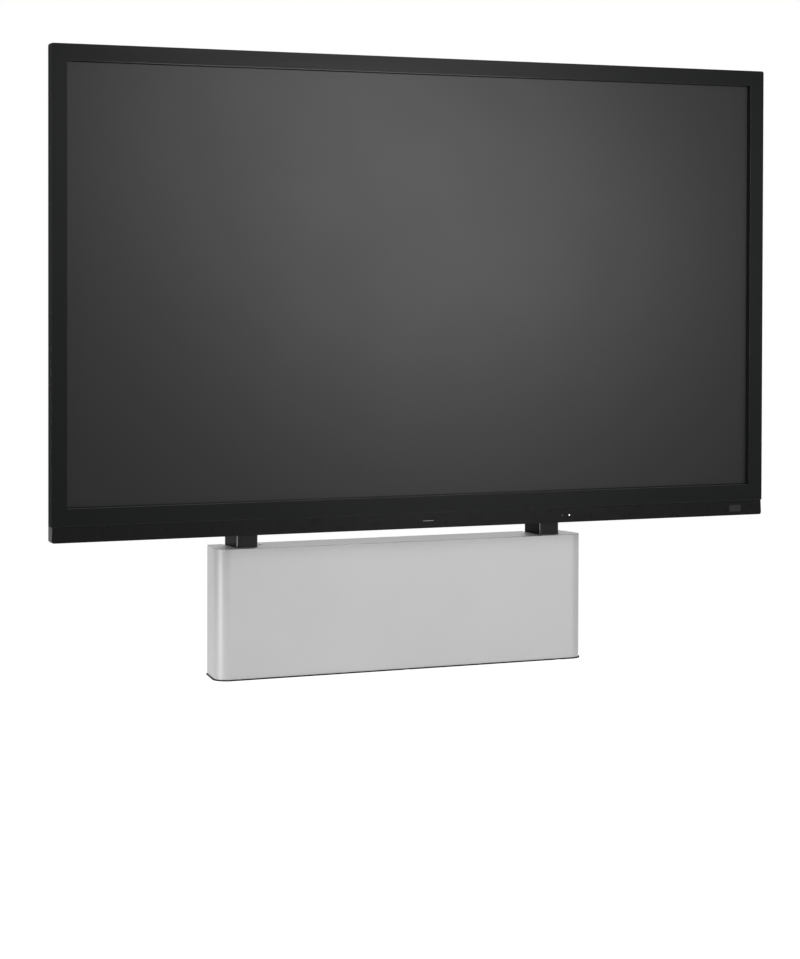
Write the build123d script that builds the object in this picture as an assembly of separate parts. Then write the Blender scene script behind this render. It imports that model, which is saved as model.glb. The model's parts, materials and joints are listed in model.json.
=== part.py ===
# Wall-mounted electric height-adjustable lift carrying a large flat display.
# The wall is the plane Y = 0, the display faces -Y, and Z is up.
# The origin is the centre of the four wall bolts. All sizes are millimetres.
import os
from math import cos, degrees, pi, radians, sin, tan

from build123d import *

# Wall bolts
WALL_BOLT_SPACING_X = 600.0
WALL_BOLT_SPACING_Z = 500.0
WALL_BOLT_HOLE_R = 4.5

# Wall steelwork
WALL_PLATE_T = 3.0
WALL_PLATE_SIDE_GAP = 6.0
WALL_PLATE_FLANGE = 28.0
WALL_RAIL_H = 70.0
CLAMP_T = 5.0
CLAMP_H = 56.0
CLAMP_EAR = 24.0
CLAMP_CHEEK_T = 4.0
CLAMP_CHEEK_D = 30.0
LOWER_CLAMP_RISE = 102.0

# Lift stroke and drive
STROKE = 500.0
SPINDLE_LEAD = 20.0

# Telescoping columns
COLUMN_OUTSIDE_RAIL = 75.0
COLUMN_W = 50.0
COLUMN_D = 80.0
COLUMN_T = 2.5
COLUMN_R = 4.0
COLUMN_ABOVE_RAIL = 60.0
INNER_GAP = 2.5
INNER_T = 2.5
GLIDE_GAP = 0.3
COLLAR_FLANGE_T = 4.0
COLLAR_DEPTH = 40.0
COLUMN_TOP_GAP = 16.0
SHOE_H = 30.0
SHOE_LIFT = 6.0
FOOT_T = 8.0
FOOT_HOLE_R = 11.0

# Spindles, nuts and bearings
SPINDLE_R = 8.0
SPINDLE_OVERRUN = 20.0
NUT_FLANGE_T = 8.0
NUT_H = 30.0
NUT_GAP = 0.2
STOP_GAP = 4.0
JOURNAL_R = 6.0
BEARING_R = 12.0
BEARING_GROOVE = 1.0
BEARING_RING_T = 2.2
RUNNING_GAP = 0.05
SEAT_GAP = 0.02
AXIAL_GAP = 0.3

# Mitre gears
GEAR_MODULE = 2.0
GEAR_TEETH = 18
GEAR_FACE_W = 10.0
GEAR_BACKLASH = 0.24
GEAR_HUB_R = 10.5
ADDENDUM_SHARE = 1.0
DEDENDUM_SHARE = 1.25
TIP_THICKNESS_SHARE = 0.46
ROOT_THICKNESS_SHARE = 1.12

# Gearboxes at the feet of the columns
GEARBOX_WALL = 8.0
GEAR_SIDE_GAP = 4.0
GEAR_TOP_GAP = 6.0
GEAR_FLOOR_GAP = 2.0
GEARBOX_BOTTOM_WALL = 4.0
GEARBOX_R = 4.0
GEARBOX_LID_T = 4.0
GEARBOX_FLOOR_GAP = 9.0

# Drive shaft and gearmotor
SHAFT_HEX_ACROSS_FLATS = 10.0
HUB_R = 13.0
HUB_OVERHANG = 6.0
HUB_GRIP = 34.0
MOTOR_CASE_W = 70.0
MOTOR_CASE_H = 72.0
MOTOR_CASE_R = 6.0
MOTOR_CASE_BELOW_SHAFT = 29.0
MOTOR_CASE_FRONT = 36.0
MOTOR_R = 32.0
MOTOR_L = 112.0
MOTOR_CAP_R = 33.5
MOTOR_CAP_H = 14.0
MOTOR_BOSS_R = 9.0
MOTOR_BOSS_H = 5.0

# Control box
CONTROL_W = 150.0
CONTROL_BELOW = 84.0
CONTROL_ABOVE = 34.0
CONTROL_BASE_D = 42.0
CONTROL_LID_D = 16.0
CONTROL_T = 2.5
CONTROL_R = 6.0
CONTROL_FROM_COLUMN = 170.0
CONTROL_VENTS = 9
CONTROL_VENT_W = 4.0
CONTROL_VENT_H = 44.0

# Silver cover and black base plate
BASE_DROP = 231.5
BASE_T = 2.5
BASE_OVERHANG = 2.5
COVER_H = 288.0
COVER_T = 2.0
COVER_SIDE_GAP = 29.0
COVER_SPREAD = 19.0
COVER_CORNER_R = 30.0
COVER_EDGE_R = 1.5
COVER_FRONT_GAP = 25.0
COVER_COLUMN_GAP = 2.0
COVER_SCREW_INSET = 20.0
COVER_BRACKET_W = 20.0
COVER_BRACKET_T = 2.0
COVER_BRACKET_L = 62.0
COVER_BRACKET_LEG = 40.0
RELEASE_NOTCH_W = 12.0
RELEASE_NOTCH_D = 2.2
RELEASE_NOTCH_PAST_COLUMN = 11.0

# Small screws
SMALL_SCREW_R = 2.0
SMALL_HEAD_R = 3.6
SMALL_HEAD_H = 2.0
CLAMP_SCREW_R = 3.0
CLAMP_HEAD_R = 5.5
CLAMP_HEAD_H = 5.0
DISPLAY_SCREW_R = 4.0
DISPLAY_HEAD_R = 7.5
DISPLAY_HEAD_H = 5.0
DISPLAY_SCREW_DEPTH = 9.0
SCREW_GAP = 0.2
HEX_RECESS_SHARE = 0.5

# Operating buttons and mains inlet, both in the base plate
BUTTON_FROM_COLUMN = 75.0
BUTTON_Y = -76.0
BUTTON_PITCH = 28.0
BUTTON_W = 21.0
BUTTON_D = 13.0
BUTTON_R = 3.0
BUTTON_PROUD = 3.0
BUTTON_FLANGE = 1.6
BUTTON_FLANGE_T = 2.0
BUTTON_GAP = 0.3
BUTTON_TRAVEL = 2.0
BUTTON_ARROW_D = 0.6
BUTTON_ARROW_W = 8.0
SWITCH_WALL = 2.0
SWITCH_H = 12.0
INLET_FROM_COLUMN = 75.0
INLET_Y = -62.0
INLET_W = 27.0
INLET_D = 19.5
INLET_H = 24.0
INLET_WALL = 2.0
INLET_FLANGE_W = 48.0
INLET_FLANGE_D = 24.0
INLET_FLANGE_T = 2.0
INLET_PIN_W = 2.0
INLET_PIN_D = 4.0
INLET_PIN_PITCH = 7.0

# Moving carriage
ARM_T = 3.0
ARM_GAP = 4.0
ARM_SIDE_GAP = 2.0
ARM_FLANGE_D = 9.0
ARM_ABOVE_CROSSBAR = 15.0
ARM_BELOW_CROSSBAR = 12.0
ARM_CAP_T = 5.0
ARM_GUSSET_H = 90.0
CROSSBAR_OVERHANG = 25.0
CROSSBAR_H = 50.0
CROSSBAR_D = 25.0
CROSSBAR_T = 2.5
CROSSBAR_ABOVE_MIDDLE = 148.0
CROSSBAR_BELOW_MIDDLE = 206.0
CROSSBAR_SLOT_L = 84.0
CROSSBAR_SLOT_W = 9.0
CROSSBAR_SLOTS = 7
DISPLAY_HOLE_SPACING_X = 600.0
DISPLAY_HOLE_SPACING_Z = 400.0
MOUNT_RAIL_W = 40.0
MOUNT_RAIL_D = 30.0
MOUNT_RAIL_T = 2.5
MOUNT_RAIL_L = 500.0
HOOK_H = 14.0
HOOK_T = 7.0
HOOK_DROP = 15.0

# Display
DISPLAY_GAP = 41.4
SCREEN_W = 1658.0
SCREEN_H = 936.0
BEZEL_TOP = 35.0
BEZEL_SIDE = 35.0
BEZEL_BOTTOM = 37.0
BEZEL_D = 20.0
BEZEL_CORNER_R = 5.0
BEZEL_RECESS = 12.0
BEZEL_LIP = 8.0
GROOVE_H = 2.0
GROOVE_D = 2.5
TONGUE_INSET = 1.0
BAR_H = 32.5
BAR_TOP_INSET = 2.5
BAR_BOTTOM_INSET = 1.0
BAR_CORNER_R = 5.0
GLASS_T = 4.0
GLASS_GAP = 0.5
PANEL_T = 14.0
PANEL_MARGIN = 4.0
IR_SLOPE = 2.5
IR_FRONT = 0.4
REAR_INSET = 3.0
REAR_T = 1.0
REAR_RIM_D = 12.0
REAR_TRAY_D = 33.0
REAR_TAPER = 45.0
REAR_VENT_GROUPS = 3
REAR_VENTS = 14
REAR_VENT_W = 5.0
REAR_VENT_H = 42.0
REAR_VENT_PITCH = 13.0
REAR_VENT_GROUP_PITCH = 430.0
REAR_VENT_DROP = 110.0
BOX_W = 900.0
BOX_H = 560.0
BOX_D = 15.0
BOX_TAPER = 14.0
BOX_T = 1.0
SENSOR_FROM_EDGE = 72.5
SENSOR_W = 31.0
SENSOR_H = 15.5
SENSOR_T = 1.5
SENSOR_R = 2.0
LED_X = 353.0
LED_R = 1.8
DOT_X = 335.5
DOT_R = 1.1
LIGHT_DEPTH = 3.0
GUIDE_W = 26.0
GUIDE_H = 1.4
OVERRUN = 5.0

# Sizes and places worked out from the ones above
PITCH_R = GEAR_MODULE * GEAR_TEETH / 2
GEARBOX_CAVITY = PITCH_R + GEAR_MODULE + GEAR_SIDE_GAP
GEARBOX_CAVITY_TOP = PITCH_R + GEAR_MODULE + GEAR_TOP_GAP
GEARBOX_CAVITY_BOTTOM = PITCH_R + GEAR_MODULE + GEAR_FLOOR_GAP
GEARBOX_HALF = GEARBOX_CAVITY + GEARBOX_WALL
COLUMN_SPACING = DISPLAY_HOLE_SPACING_X + 2 * COLUMN_OUTSIDE_RAIL
COVER_BACK_W = COLUMN_SPACING + 2 * (GEARBOX_HALF + COVER_SIDE_GAP + COVER_T)
COVER_FRONT_W = COVER_BACK_W + 2 * COVER_SPREAD
WALL_PLATE_W = COVER_BACK_W - 2 * (COVER_T + WALL_PLATE_SIDE_GAP)
CONTROL_H = COVER_H - CONTROL_BELOW - CONTROL_ABOVE
CONTROL_X = CONTROL_FROM_COLUMN - COLUMN_SPACING / 2
BUTTON_X = COLUMN_SPACING / 2 - BUTTON_FROM_COLUMN
INLET_X = INLET_FROM_COLUMN - COLUMN_SPACING / 2
RELEASE_NOTCH_X = COLUMN_SPACING / 2 + RELEASE_NOTCH_PAST_COLUMN
BASE_Z = -WALL_BOLT_SPACING_Z / 2 - BASE_DROP
BASE_TOP = BASE_Z + BASE_T
COVER_TOP = BASE_TOP + COVER_H
COLUMN_BACK_Y = -WALL_PLATE_T - CLAMP_T
COLUMN_Y = COLUMN_BACK_Y - COLUMN_D / 2
COLUMN_FRONT_Y = COLUMN_BACK_Y - COLUMN_D
COVER_FRONT_Y = COLUMN_FRONT_Y - COVER_FRONT_GAP
GEARBOX_Z = BASE_TOP + GEARBOX_FLOOR_GAP
SHAFT_Z = GEARBOX_Z + GEARBOX_BOTTOM_WALL + GEARBOX_CAVITY_BOTTOM
GEARBOX_TOP = SHAFT_Z + GEARBOX_CAVITY_TOP + GEARBOX_WALL
COLUMN_Z = GEARBOX_TOP + FOOT_T
COLUMN_TOP = WALL_BOLT_SPACING_Z / 2 + COLUMN_ABOVE_RAIL
LOWER_CLAMP_Z = COLUMN_Z + LOWER_CLAMP_RISE
CONTROL_Z = BASE_TOP + CONTROL_BELOW + CONTROL_H / 2
INNER_W = COLUMN_W - 2 * (COLUMN_T + INNER_GAP)
INNER_D = COLUMN_D - 2 * (COLUMN_T + INNER_GAP)
INNER_R = max(COLUMN_R - COLUMN_T, INNER_T / 2)
INNER_Z = COLUMN_Z + STOP_GAP + NUT_FLANGE_T
INNER_TOP = COLUMN_TOP + COLLAR_FLANGE_T + COLUMN_TOP_GAP
SPINDLE_TOP = INNER_Z + STROKE + NUT_H + SPINDLE_OVERRUN
ARM_BACK_Y = COLUMN_FRONT_Y - ARM_GAP
ARM_FRONT_Y = ARM_BACK_Y - ARM_T
ARM_W = COLUMN_W + 2 * (ARM_SIDE_GAP + ARM_T)
CROSSBAR_L = COLUMN_SPACING + ARM_W + 2 * CROSSBAR_OVERHANG
CROSSBAR_FRONT_Y = ARM_FRONT_Y - CROSSBAR_D
DISPLAY_BACK_Y = CROSSBAR_FRONT_Y - MOUNT_RAIL_D
TRAY_BACK_Y = DISPLAY_BACK_Y - BOX_D
BEZEL_BACK_Y = TRAY_BACK_Y - REAR_TRAY_D - REAR_RIM_D
BEZEL_FRONT_Y = BEZEL_BACK_Y - BEZEL_D
GLASS_FRONT_Y = BEZEL_FRONT_Y + BEZEL_RECESS
DISPLAY_Z = COVER_TOP + DISPLAY_GAP
GROOVE_Z = DISPLAY_Z + BAR_H
FRAME_Z = GROOVE_Z + GROOVE_H
SCREEN_Z = FRAME_Z + BEZEL_BOTTOM + SCREEN_H / 2
DISPLAY_W = SCREEN_W + 2 * BEZEL_SIDE
DISPLAY_TOP = SCREEN_Z + SCREEN_H / 2 + BEZEL_TOP
DISPLAY_MID_Z = (DISPLAY_Z + DISPLAY_TOP) / 2
CROSSBAR_UPPER_Z = DISPLAY_MID_Z + CROSSBAR_ABOVE_MIDDLE
CROSSBAR_LOWER_Z = DISPLAY_MID_Z - CROSSBAR_BELOW_MIDDLE
ARM_TOP_Z = CROSSBAR_UPPER_Z + CROSSBAR_H / 2 + ARM_ABOVE_CROSSBAR
ARM_BOTTOM_Z = CROSSBAR_LOWER_Z - CROSSBAR_H / 2 - ARM_BELOW_CROSSBAR
SENSOR_X = DISPLAY_W / 2 - SENSOR_FROM_EDGE
SIDES = {"left": -1, "right": 1}


def block(x0, x1, y0, y1, z0, z1):
    """A box between two corners."""
    size = Box(abs(x1 - x0), abs(y1 - y0), abs(z1 - z0))
    return Pos((x0 + x1) / 2, (y0 + y1) / 2, (z0 + z1) / 2) * size


def rounded_post(width, depth, radius, z0, z1):
    """A vertical post with rounded corners, centred on the Z axis."""
    outline = RectangleRounded(width, depth, radius)
    return Pos(0, 0, z0) * extrude(outline, z1 - z0)


def rounded_tube(width, depth, radius, wall, z0, z1):
    """A vertical rectangular tube, centred on the Z axis."""
    inner_radius = max(radius - wall, wall / 2)
    outline = RectangleRounded(width, depth, radius)
    bore = RectangleRounded(width - 2 * wall, depth - 2 * wall, inner_radius)
    return Pos(0, 0, z0) * extrude(outline - bore, z1 - z0)


def rod(radius, z0, z1):
    """A round bar along Z."""
    return Pos(0, 0, (z0 + z1) / 2) * Cylinder(radius, z1 - z0)


def screw(shank_r, head_r, head_h, length):
    """A button-head screw: the head stands on Z = 0 and the shank points down."""
    head = rod(head_r, 0, head_h)
    head = chamfer(head.edges().group_by(Axis.Z)[-1], head_h / 3)
    recess = RegularPolygon(head_r * HEX_RECESS_SHARE, 6)
    head -= Pos(0, 0, head_h / 2) * extrude(recess, head_h)
    return head + rod(shank_r, -length, 0)


def column_place(side):
    """The centre line of one column."""
    return Pos(side * COLUMN_SPACING / 2, COLUMN_Y, 0)


def facing_front(x, y, z):
    """A frame whose local Z points at the viewer, along -Y."""
    return Pos(x, y, z) * Rot(90, 0, 0)


# Wall steelwork


def wall_bolt_holes(z):
    """The two wall bolt holes of one row."""
    holes = []
    for side in SIDES.values():
        place = facing_front(side * WALL_BOLT_SPACING_X / 2, 0, z)
        holes.append(place * Cylinder(WALL_BOLT_HOLE_R, 4 * WALL_PLATE_T))
    return holes


def wall_plate():
    """Lower wall plate behind the cover, bent forward at its foot."""
    half = WALL_PLATE_W / 2
    top = COVER_TOP - COVER_T - OVERRUN
    sheet = block(-half, half, -WALL_PLATE_T, 0, BASE_TOP, top)
    flange = block(-half, half, -WALL_PLATE_FLANGE, 0, BASE_TOP, BASE_TOP + WALL_PLATE_T)
    return sheet + flange - wall_bolt_holes(-WALL_BOLT_SPACING_Z / 2)


def wall_rail():
    """Upper wall rail: a shallow channel with two lips."""
    half = WALL_PLATE_W / 2
    middle = WALL_BOLT_SPACING_Z / 2
    low = middle - WALL_RAIL_H / 2
    high = middle + WALL_RAIL_H / 2
    rail = block(-half, half, -WALL_PLATE_T, 0, low, high)
    rail += block(-half, half, COLUMN_BACK_Y, 0, low, low + WALL_PLATE_T)
    rail += block(-half, half, COLUMN_BACK_Y, 0, high - WALL_PLATE_T, high)
    return rail - wall_bolt_holes(middle)


def clamp_places():
    """The four places where a column is clamped to the wall steelwork."""
    heights = (LOWER_CLAMP_Z, WALL_BOLT_SPACING_Z / 2)
    return [(side, z) for side in SIDES.values() for z in heights]


def clamp_screw_offset():
    """How far a clamp's screw lies from the column's centre line."""
    return COLUMN_W / 2 + CLAMP_CHEEK_T + CLAMP_EAR / 2


def column_clamp():
    """A pressed bracket: a back plate with two cheeks along the column."""
    half = COLUMN_W / 2 + CLAMP_CHEEK_T + CLAMP_EAR
    back = COLUMN_D / 2
    tall = CLAMP_H / 2
    bracket = block(-half, half, back, back + CLAMP_T, -tall, tall)
    for side in SIDES.values():
        near = side * COLUMN_W / 2
        far = side * (COLUMN_W / 2 + CLAMP_CHEEK_T)
        bracket += block(near, far, back - CLAMP_CHEEK_D, back, -tall, tall)
        hole = facing_front(side * clamp_screw_offset(), back, 0)
        bracket -= hole * Cylinder(CLAMP_SCREW_R + SCREW_GAP, 4 * CLAMP_T)
    return bracket


def column_clamps():
    """All four clamps."""
    return [column_place(side) * Pos(0, 0, z) * column_clamp() for side, z in clamp_places()]


def clamp_screws():
    """Two screws through each clamp."""
    screws = []
    body = screw(CLAMP_SCREW_R, CLAMP_HEAD_R, CLAMP_HEAD_H, CLAMP_T)
    for side, z in clamp_places():
        for ear in SIDES.values():
            x = side * COLUMN_SPACING / 2 + ear * clamp_screw_offset()
            screws.append(facing_front(x, COLUMN_BACK_Y, z) * body)
    return screws


# Telescoping columns


def outer_column(side):
    """Fixed outer tube."""
    tube = rounded_tube(COLUMN_W, COLUMN_D, COLUMN_R, COLUMN_T, COLUMN_Z, COLUMN_TOP)
    return column_place(side) * tube


def inner_column(side):
    """Sliding inner tube."""
    tube = rounded_tube(INNER_W, INNER_D, INNER_R, INNER_T, INNER_Z, INNER_TOP)
    return column_place(side) * tube


def glide_collar(side):
    """Plastic collar in the mouth of the outer tube, which guides the inner one."""
    bore_w = COLUMN_W - 2 * COLUMN_T
    bore_d = COLUMN_D - 2 * COLUMN_T
    bore_r = max(COLUMN_R - COLUMN_T, COLUMN_T / 2)
    top = COLUMN_TOP + COLLAR_FLANGE_T
    collar = rounded_post(bore_w, bore_d, bore_r, COLUMN_TOP - COLLAR_DEPTH, top)
    collar += rounded_post(COLUMN_W, COLUMN_D, COLUMN_R, COLUMN_TOP, top)
    window = RectangleRounded(INNER_W + 2 * GLIDE_GAP, INNER_D + 2 * GLIDE_GAP, INNER_R)
    start = COLUMN_TOP - COLLAR_DEPTH - OVERRUN
    collar -= Pos(0, 0, start) * extrude(window, top - start + OVERRUN)
    return column_place(side) * collar


def glide_shoe(side):
    """Plastic shoe round the foot of the inner tube."""
    wide = COLUMN_W - 2 * COLUMN_T - 2 * GLIDE_GAP
    deep = COLUMN_D - 2 * COLUMN_T - 2 * GLIDE_GAP
    outline = RectangleRounded(wide, deep, INNER_R)
    window = RectangleRounded(INNER_W, INNER_D, INNER_R)
    low = INNER_Z + SHOE_LIFT
    return column_place(side) * Pos(0, 0, low) * extrude(outline - window, SHOE_H)


def column_feet():
    """Foot plates between the gearboxes and the outer tubes."""
    feet = []
    for side in SIDES.values():
        foot = block(-GEARBOX_HALF, GEARBOX_HALF, -COLUMN_D / 2, COLUMN_D / 2, GEARBOX_TOP, COLUMN_Z)
        foot = fillet(foot.edges().filter_by(Axis.Z), COLUMN_R)
        foot -= rod(FOOT_HOLE_R, GEARBOX_TOP - OVERRUN, COLUMN_Z + OVERRUN)
        feet.append(column_place(side) * foot)
    return feet


# Spindles and nuts


def spindle(side):
    """Lifting spindle: a thick bar over a turned journal."""
    shoulder = GEARBOX_TOP + AXIAL_GAP
    bar = rod(SPINDLE_R, shoulder, SPINDLE_TOP)
    bar = chamfer(bar.edges().group_by(Axis.Z)[-1], SPINDLE_R / 4)
    bar += rod(JOURNAL_R, SHAFT_Z + gear_toe_depth(), shoulder)
    return column_place(side) * bar


def spindle_nut(side):
    """Nut block that closes the foot of the inner tube."""
    wide = INNER_W - 2 * INNER_T - 2 * NUT_GAP
    deep = INNER_D - 2 * INNER_T - 2 * NUT_GAP
    nut = rounded_post(INNER_W, INNER_D, INNER_R, INNER_Z - NUT_FLANGE_T, INNER_Z)
    nut += rounded_post(wide, deep, INNER_R, INNER_Z, INNER_Z + NUT_H)
    low = INNER_Z - NUT_FLANGE_T - OVERRUN
    nut -= rod(SPINDLE_R + RUNNING_GAP, low, INNER_Z + NUT_H + OVERRUN)
    return column_place(side) * nut


def bearing():
    """A sealed ball bearing, as wide as the gearbox wall that holds it."""
    ring = rod(BEARING_R, 0, GEARBOX_WALL)
    groove = rod(BEARING_R - BEARING_RING_T, 0, BEARING_GROOVE)
    groove -= rod(JOURNAL_R + BEARING_RING_T, 0, BEARING_GROOVE)
    ring -= groove
    ring -= Pos(0, 0, GEARBOX_WALL - BEARING_GROOVE) * groove
    return ring - rod(JOURNAL_R + RUNNING_GAP, -OVERRUN, GEARBOX_WALL + OVERRUN)


def spindle_bearings():
    """The bearing in the top wall of each gearbox."""
    low = GEARBOX_TOP - GEARBOX_WALL
    return [column_place(side) * Pos(0, 0, low) * bearing() for side in SIDES.values()]


# Mitre gears


def gear_toe_depth():
    """Distance from the cone apex to the flat front of a gear."""
    toe = 1 - GEAR_FACE_W * cos(radians(45)) / PITCH_R
    return (PITCH_R + DEDENDUM_SHARE * GEAR_MODULE * cos(radians(45))) * toe


def gear_outline(height):
    """Tooth outline of a 45 degree bevel gear on the plane at that height over the apex."""
    cone = PITCH_R / sin(radians(45))
    rise = degrees(GEAR_MODULE * ADDENDUM_SHARE / cone)
    drop = degrees(GEAR_MODULE * DEDENDUM_SHARE / cone)
    half_tooth = 90 / GEAR_TEETH - degrees(GEAR_BACKLASH / 2 / PITCH_R)
    steps = (
        (45 - drop, -ROOT_THICKNESS_SHARE),
        (45, -1),
        (45 + rise, -TIP_THICKNESS_SHARE),
        (45 + rise, TIP_THICKNESS_SHARE),
        (45, 1),
        (45 - drop, ROOT_THICKNESS_SHARE),
    )
    points = []
    for tooth in range(GEAR_TEETH):
        for cone_angle, share in steps:
            radius = height * tan(radians(cone_angle))
            turn = radians(360 * tooth / GEAR_TEETH + share * half_tooth)
            points.append((radius * cos(turn), radius * sin(turn), height))
    return points


def flat_sided(lower, upper):
    """A solid between two outlines with equally many points, every side of it flat."""
    faces = [make_face(Polyline(*points, close=True)) for points in (lower, upper)]
    for index, point in enumerate(lower):
        before = index - 1
        side = (lower[before], point, upper[index], upper[before])
        faces.append(make_face(Polyline(*side, close=True)))
    return Part() + Solid(Shell(faces))


def gear_cone(sum_at_edge, low, high):
    """A facetted cone square to the pitch cone, with one facet for each tooth."""
    layers = []
    for height in (low, high):
        radius = (sum_at_edge - height) / cos(pi / GEAR_TEETH)
        turns = [radians(360 * (tooth + 0.5) / GEAR_TEETH) for tooth in range(GEAR_TEETH)]
        layers.append([(radius * cos(turn), radius * sin(turn), height) for turn in turns])
    return flat_sided(*layers)


def mitre_gear():
    """A bevel gear about Z with its apex at the origin and its hub behind it."""
    toe_share = 1 - GEAR_FACE_W * cos(radians(45)) / PITCH_R
    heel = PITCH_R + DEDENDUM_SHARE * GEAR_MODULE * cos(radians(45))
    front = toe_share * (PITCH_R - GEAR_MODULE)
    gear = flat_sided(gear_outline(front), gear_outline(heel))
    gear &= gear_cone(2 * PITCH_R, front, heel)
    gear -= gear_cone(2 * PITCH_R * toe_share, front - OVERRUN, gear_toe_depth())
    back = GEARBOX_CAVITY - AXIAL_GAP
    gear += rod(GEAR_HUB_R, heel - GEAR_MODULE, back)
    return gear - rod(JOURNAL_R + SEAT_GAP, 0, back + OVERRUN)


def bevel_gear(side):
    """Driven gear on the spindle; one tooth points along the drive shaft."""
    turn = 180 if side > 0 else 0
    return column_place(side) * Pos(0, 0, SHAFT_Z) * Rot(0, 0, turn) * mitre_gear()


def bevel_pinion(side):
    """Driving gear on the drive shaft; a tooth gap faces the driven gear."""
    half_pitch = 180 / GEAR_TEETH
    aim = Rot(0, -side * 90, 0)
    return column_place(side) * Pos(0, 0, SHAFT_Z) * aim * Rot(0, 0, half_pitch) * mitre_gear()


# Gearboxes


def gearbox_housing(side):
    """Cast gearbox: a block with an open front, a shaft bore and a spindle bore."""
    half = GEARBOX_HALF
    housing = block(-half, half, -half, half, GEARBOX_Z, GEARBOX_TOP)
    housing = fillet(housing.edges().filter_by(Axis.Z), GEARBOX_R)
    low = SHAFT_Z - GEARBOX_CAVITY_BOTTOM
    high = SHAFT_Z + GEARBOX_CAVITY_TOP
    wide = GEARBOX_CAVITY
    housing -= block(-wide, wide, -half - OVERRUN, wide, low, high)
    housing -= rod(BEARING_R + SEAT_GAP, high - OVERRUN, GEARBOX_TOP + OVERRUN)
    bore = Pos(-side * half, 0, SHAFT_Z) * Rot(0, 90, 0) * Cylinder(BEARING_R + SEAT_GAP, 4 * GEARBOX_WALL)
    bore &= block(-side * wide, -side * (half + OVERRUN), -half, half, GEARBOX_Z, GEARBOX_TOP)
    housing -= bore
    return column_place(side) * housing


def gearbox_lid(side):
    """Front lid, with the heads of its four corner screws as part of it."""
    half = GEARBOX_HALF
    front = -half - GEARBOX_LID_T
    lid = block(-half, half, front, -half, GEARBOX_Z, GEARBOX_TOP)
    lid = fillet(lid.edges().filter_by(Axis.Y), GEARBOX_R)
    inset = GEARBOX_WALL / 2 + SMALL_SCREW_R
    for x in (-half + inset, half - inset):
        for z in (GEARBOX_Z + inset, GEARBOX_TOP - inset):
            lid += facing_front(x, front, z) * rod(SMALL_HEAD_R, -SMALL_HEAD_H / 2, SMALL_HEAD_H)
    return column_place(side) * lid


def gearbox_lids():
    """Both lids."""
    return [gearbox_lid(side) for side in SIDES.values()]


def shaft_bearings():
    """The bearing in the inner wall of each gearbox."""
    rings = []
    for side in SIDES.values():
        start = -side * GEARBOX_CAVITY
        place = Pos(start, 0, SHAFT_Z) * Rot(0, -side * 90, 0)
        rings.append(column_place(side) * place * bearing())
    return rings


# Drive shaft and gearmotor


def drive_shaft(side):
    """Hexagon bar from the motor hub to one gearbox, with a turned journal."""
    radius = SHAFT_HEX_ACROSS_FLATS / 2
    journal_start = COLUMN_SPACING / 2 - GEARBOX_HALF - AXIAL_GAP
    journal_end = COLUMN_SPACING / 2 - gear_toe_depth()
    start = MOTOR_CASE_W / 2 + HUB_OVERHANG - HUB_GRIP
    hexagon = RegularPolygon(radius, 6, major_radius=False)
    bar = Pos(0, 0, start) * extrude(hexagon, journal_start - start)
    bar += rod(JOURNAL_R, journal_start, journal_end)
    return Pos(0, COLUMN_Y, SHAFT_Z) * Rot(0, side * 90, 0) * bar


def drive_hub():
    """Hollow output hub of the gearmotor, which grips both hexagon bars."""
    half = MOTOR_CASE_W / 2 + HUB_OVERHANG
    hexagon = RegularPolygon(SHAFT_HEX_ACROSS_FLATS / 2 + SEAT_GAP, 6, major_radius=False)
    hub = rod(HUB_R, -half, half)
    hub -= Pos(0, 0, -half - OVERRUN) * extrude(hexagon, 2 * (half + OVERRUN))
    return Pos(0, COLUMN_Y, SHAFT_Z) * Rot(0, 90, 0) * hub


def gearmotor_case():
    """Cast case of the worm gear, bolted to the wall plate."""
    half = MOTOR_CASE_W / 2
    low = SHAFT_Z - MOTOR_CASE_BELOW_SHAFT
    front = COLUMN_Y - MOTOR_CASE_FRONT
    case = block(-half, half, front, -WALL_PLATE_T, low, low + MOTOR_CASE_H)
    case = fillet(case.edges().filter_by(Axis.Z), MOTOR_CASE_R)
    case -= Pos(0, COLUMN_Y, SHAFT_Z) * Rot(0, 90, 0) * Cylinder(HUB_R + RUNNING_GAP, 2 * MOTOR_CASE_W)
    return case


def motor_can():
    """Round motor standing on the worm gear case."""
    low = SHAFT_Z - MOTOR_CASE_BELOW_SHAFT + MOTOR_CASE_H
    can = rod(MOTOR_R, low, low + MOTOR_L)
    can += rod(MOTOR_CAP_R, low + MOTOR_L - MOTOR_CAP_H, low + MOTOR_L)
    can += rod(MOTOR_BOSS_R, low + MOTOR_L, low + MOTOR_L + MOTOR_BOSS_H)
    return Pos(0, COLUMN_Y, 0) * can


# Control box


def control_outline():
    """Rounded outline of the control box."""
    return RectangleRounded(CONTROL_W, CONTROL_H, CONTROL_R)


def control_box():
    """Open tray that holds the control electronics, against the wall plate."""
    tray = extrude(control_outline(), CONTROL_BASE_D)
    hollow = offset(control_outline(), -CONTROL_T)
    tray -= Pos(0, 0, CONTROL_T) * extrude(hollow, CONTROL_BASE_D)
    return facing_front(CONTROL_X, -WALL_PLATE_T, CONTROL_Z) * tray


def control_box_lid():
    """Lid with a row of vent slots."""
    lid = extrude(control_outline(), CONTROL_LID_D)
    lid -= extrude(offset(control_outline(), -CONTROL_T), CONTROL_LID_D - CONTROL_T)
    pitch = 2 * CONTROL_VENT_W
    for index in range(CONTROL_VENTS):
        x = (index - (CONTROL_VENTS - 1) / 2) * pitch
        lid -= Pos(x, 0, CONTROL_LID_D) * Box(CONTROL_VENT_W, CONTROL_VENT_H, 4 * CONTROL_T)
    return facing_front(CONTROL_X, -WALL_PLATE_T - CONTROL_BASE_D, CONTROL_Z) * lid


# Cover and base plate


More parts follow.
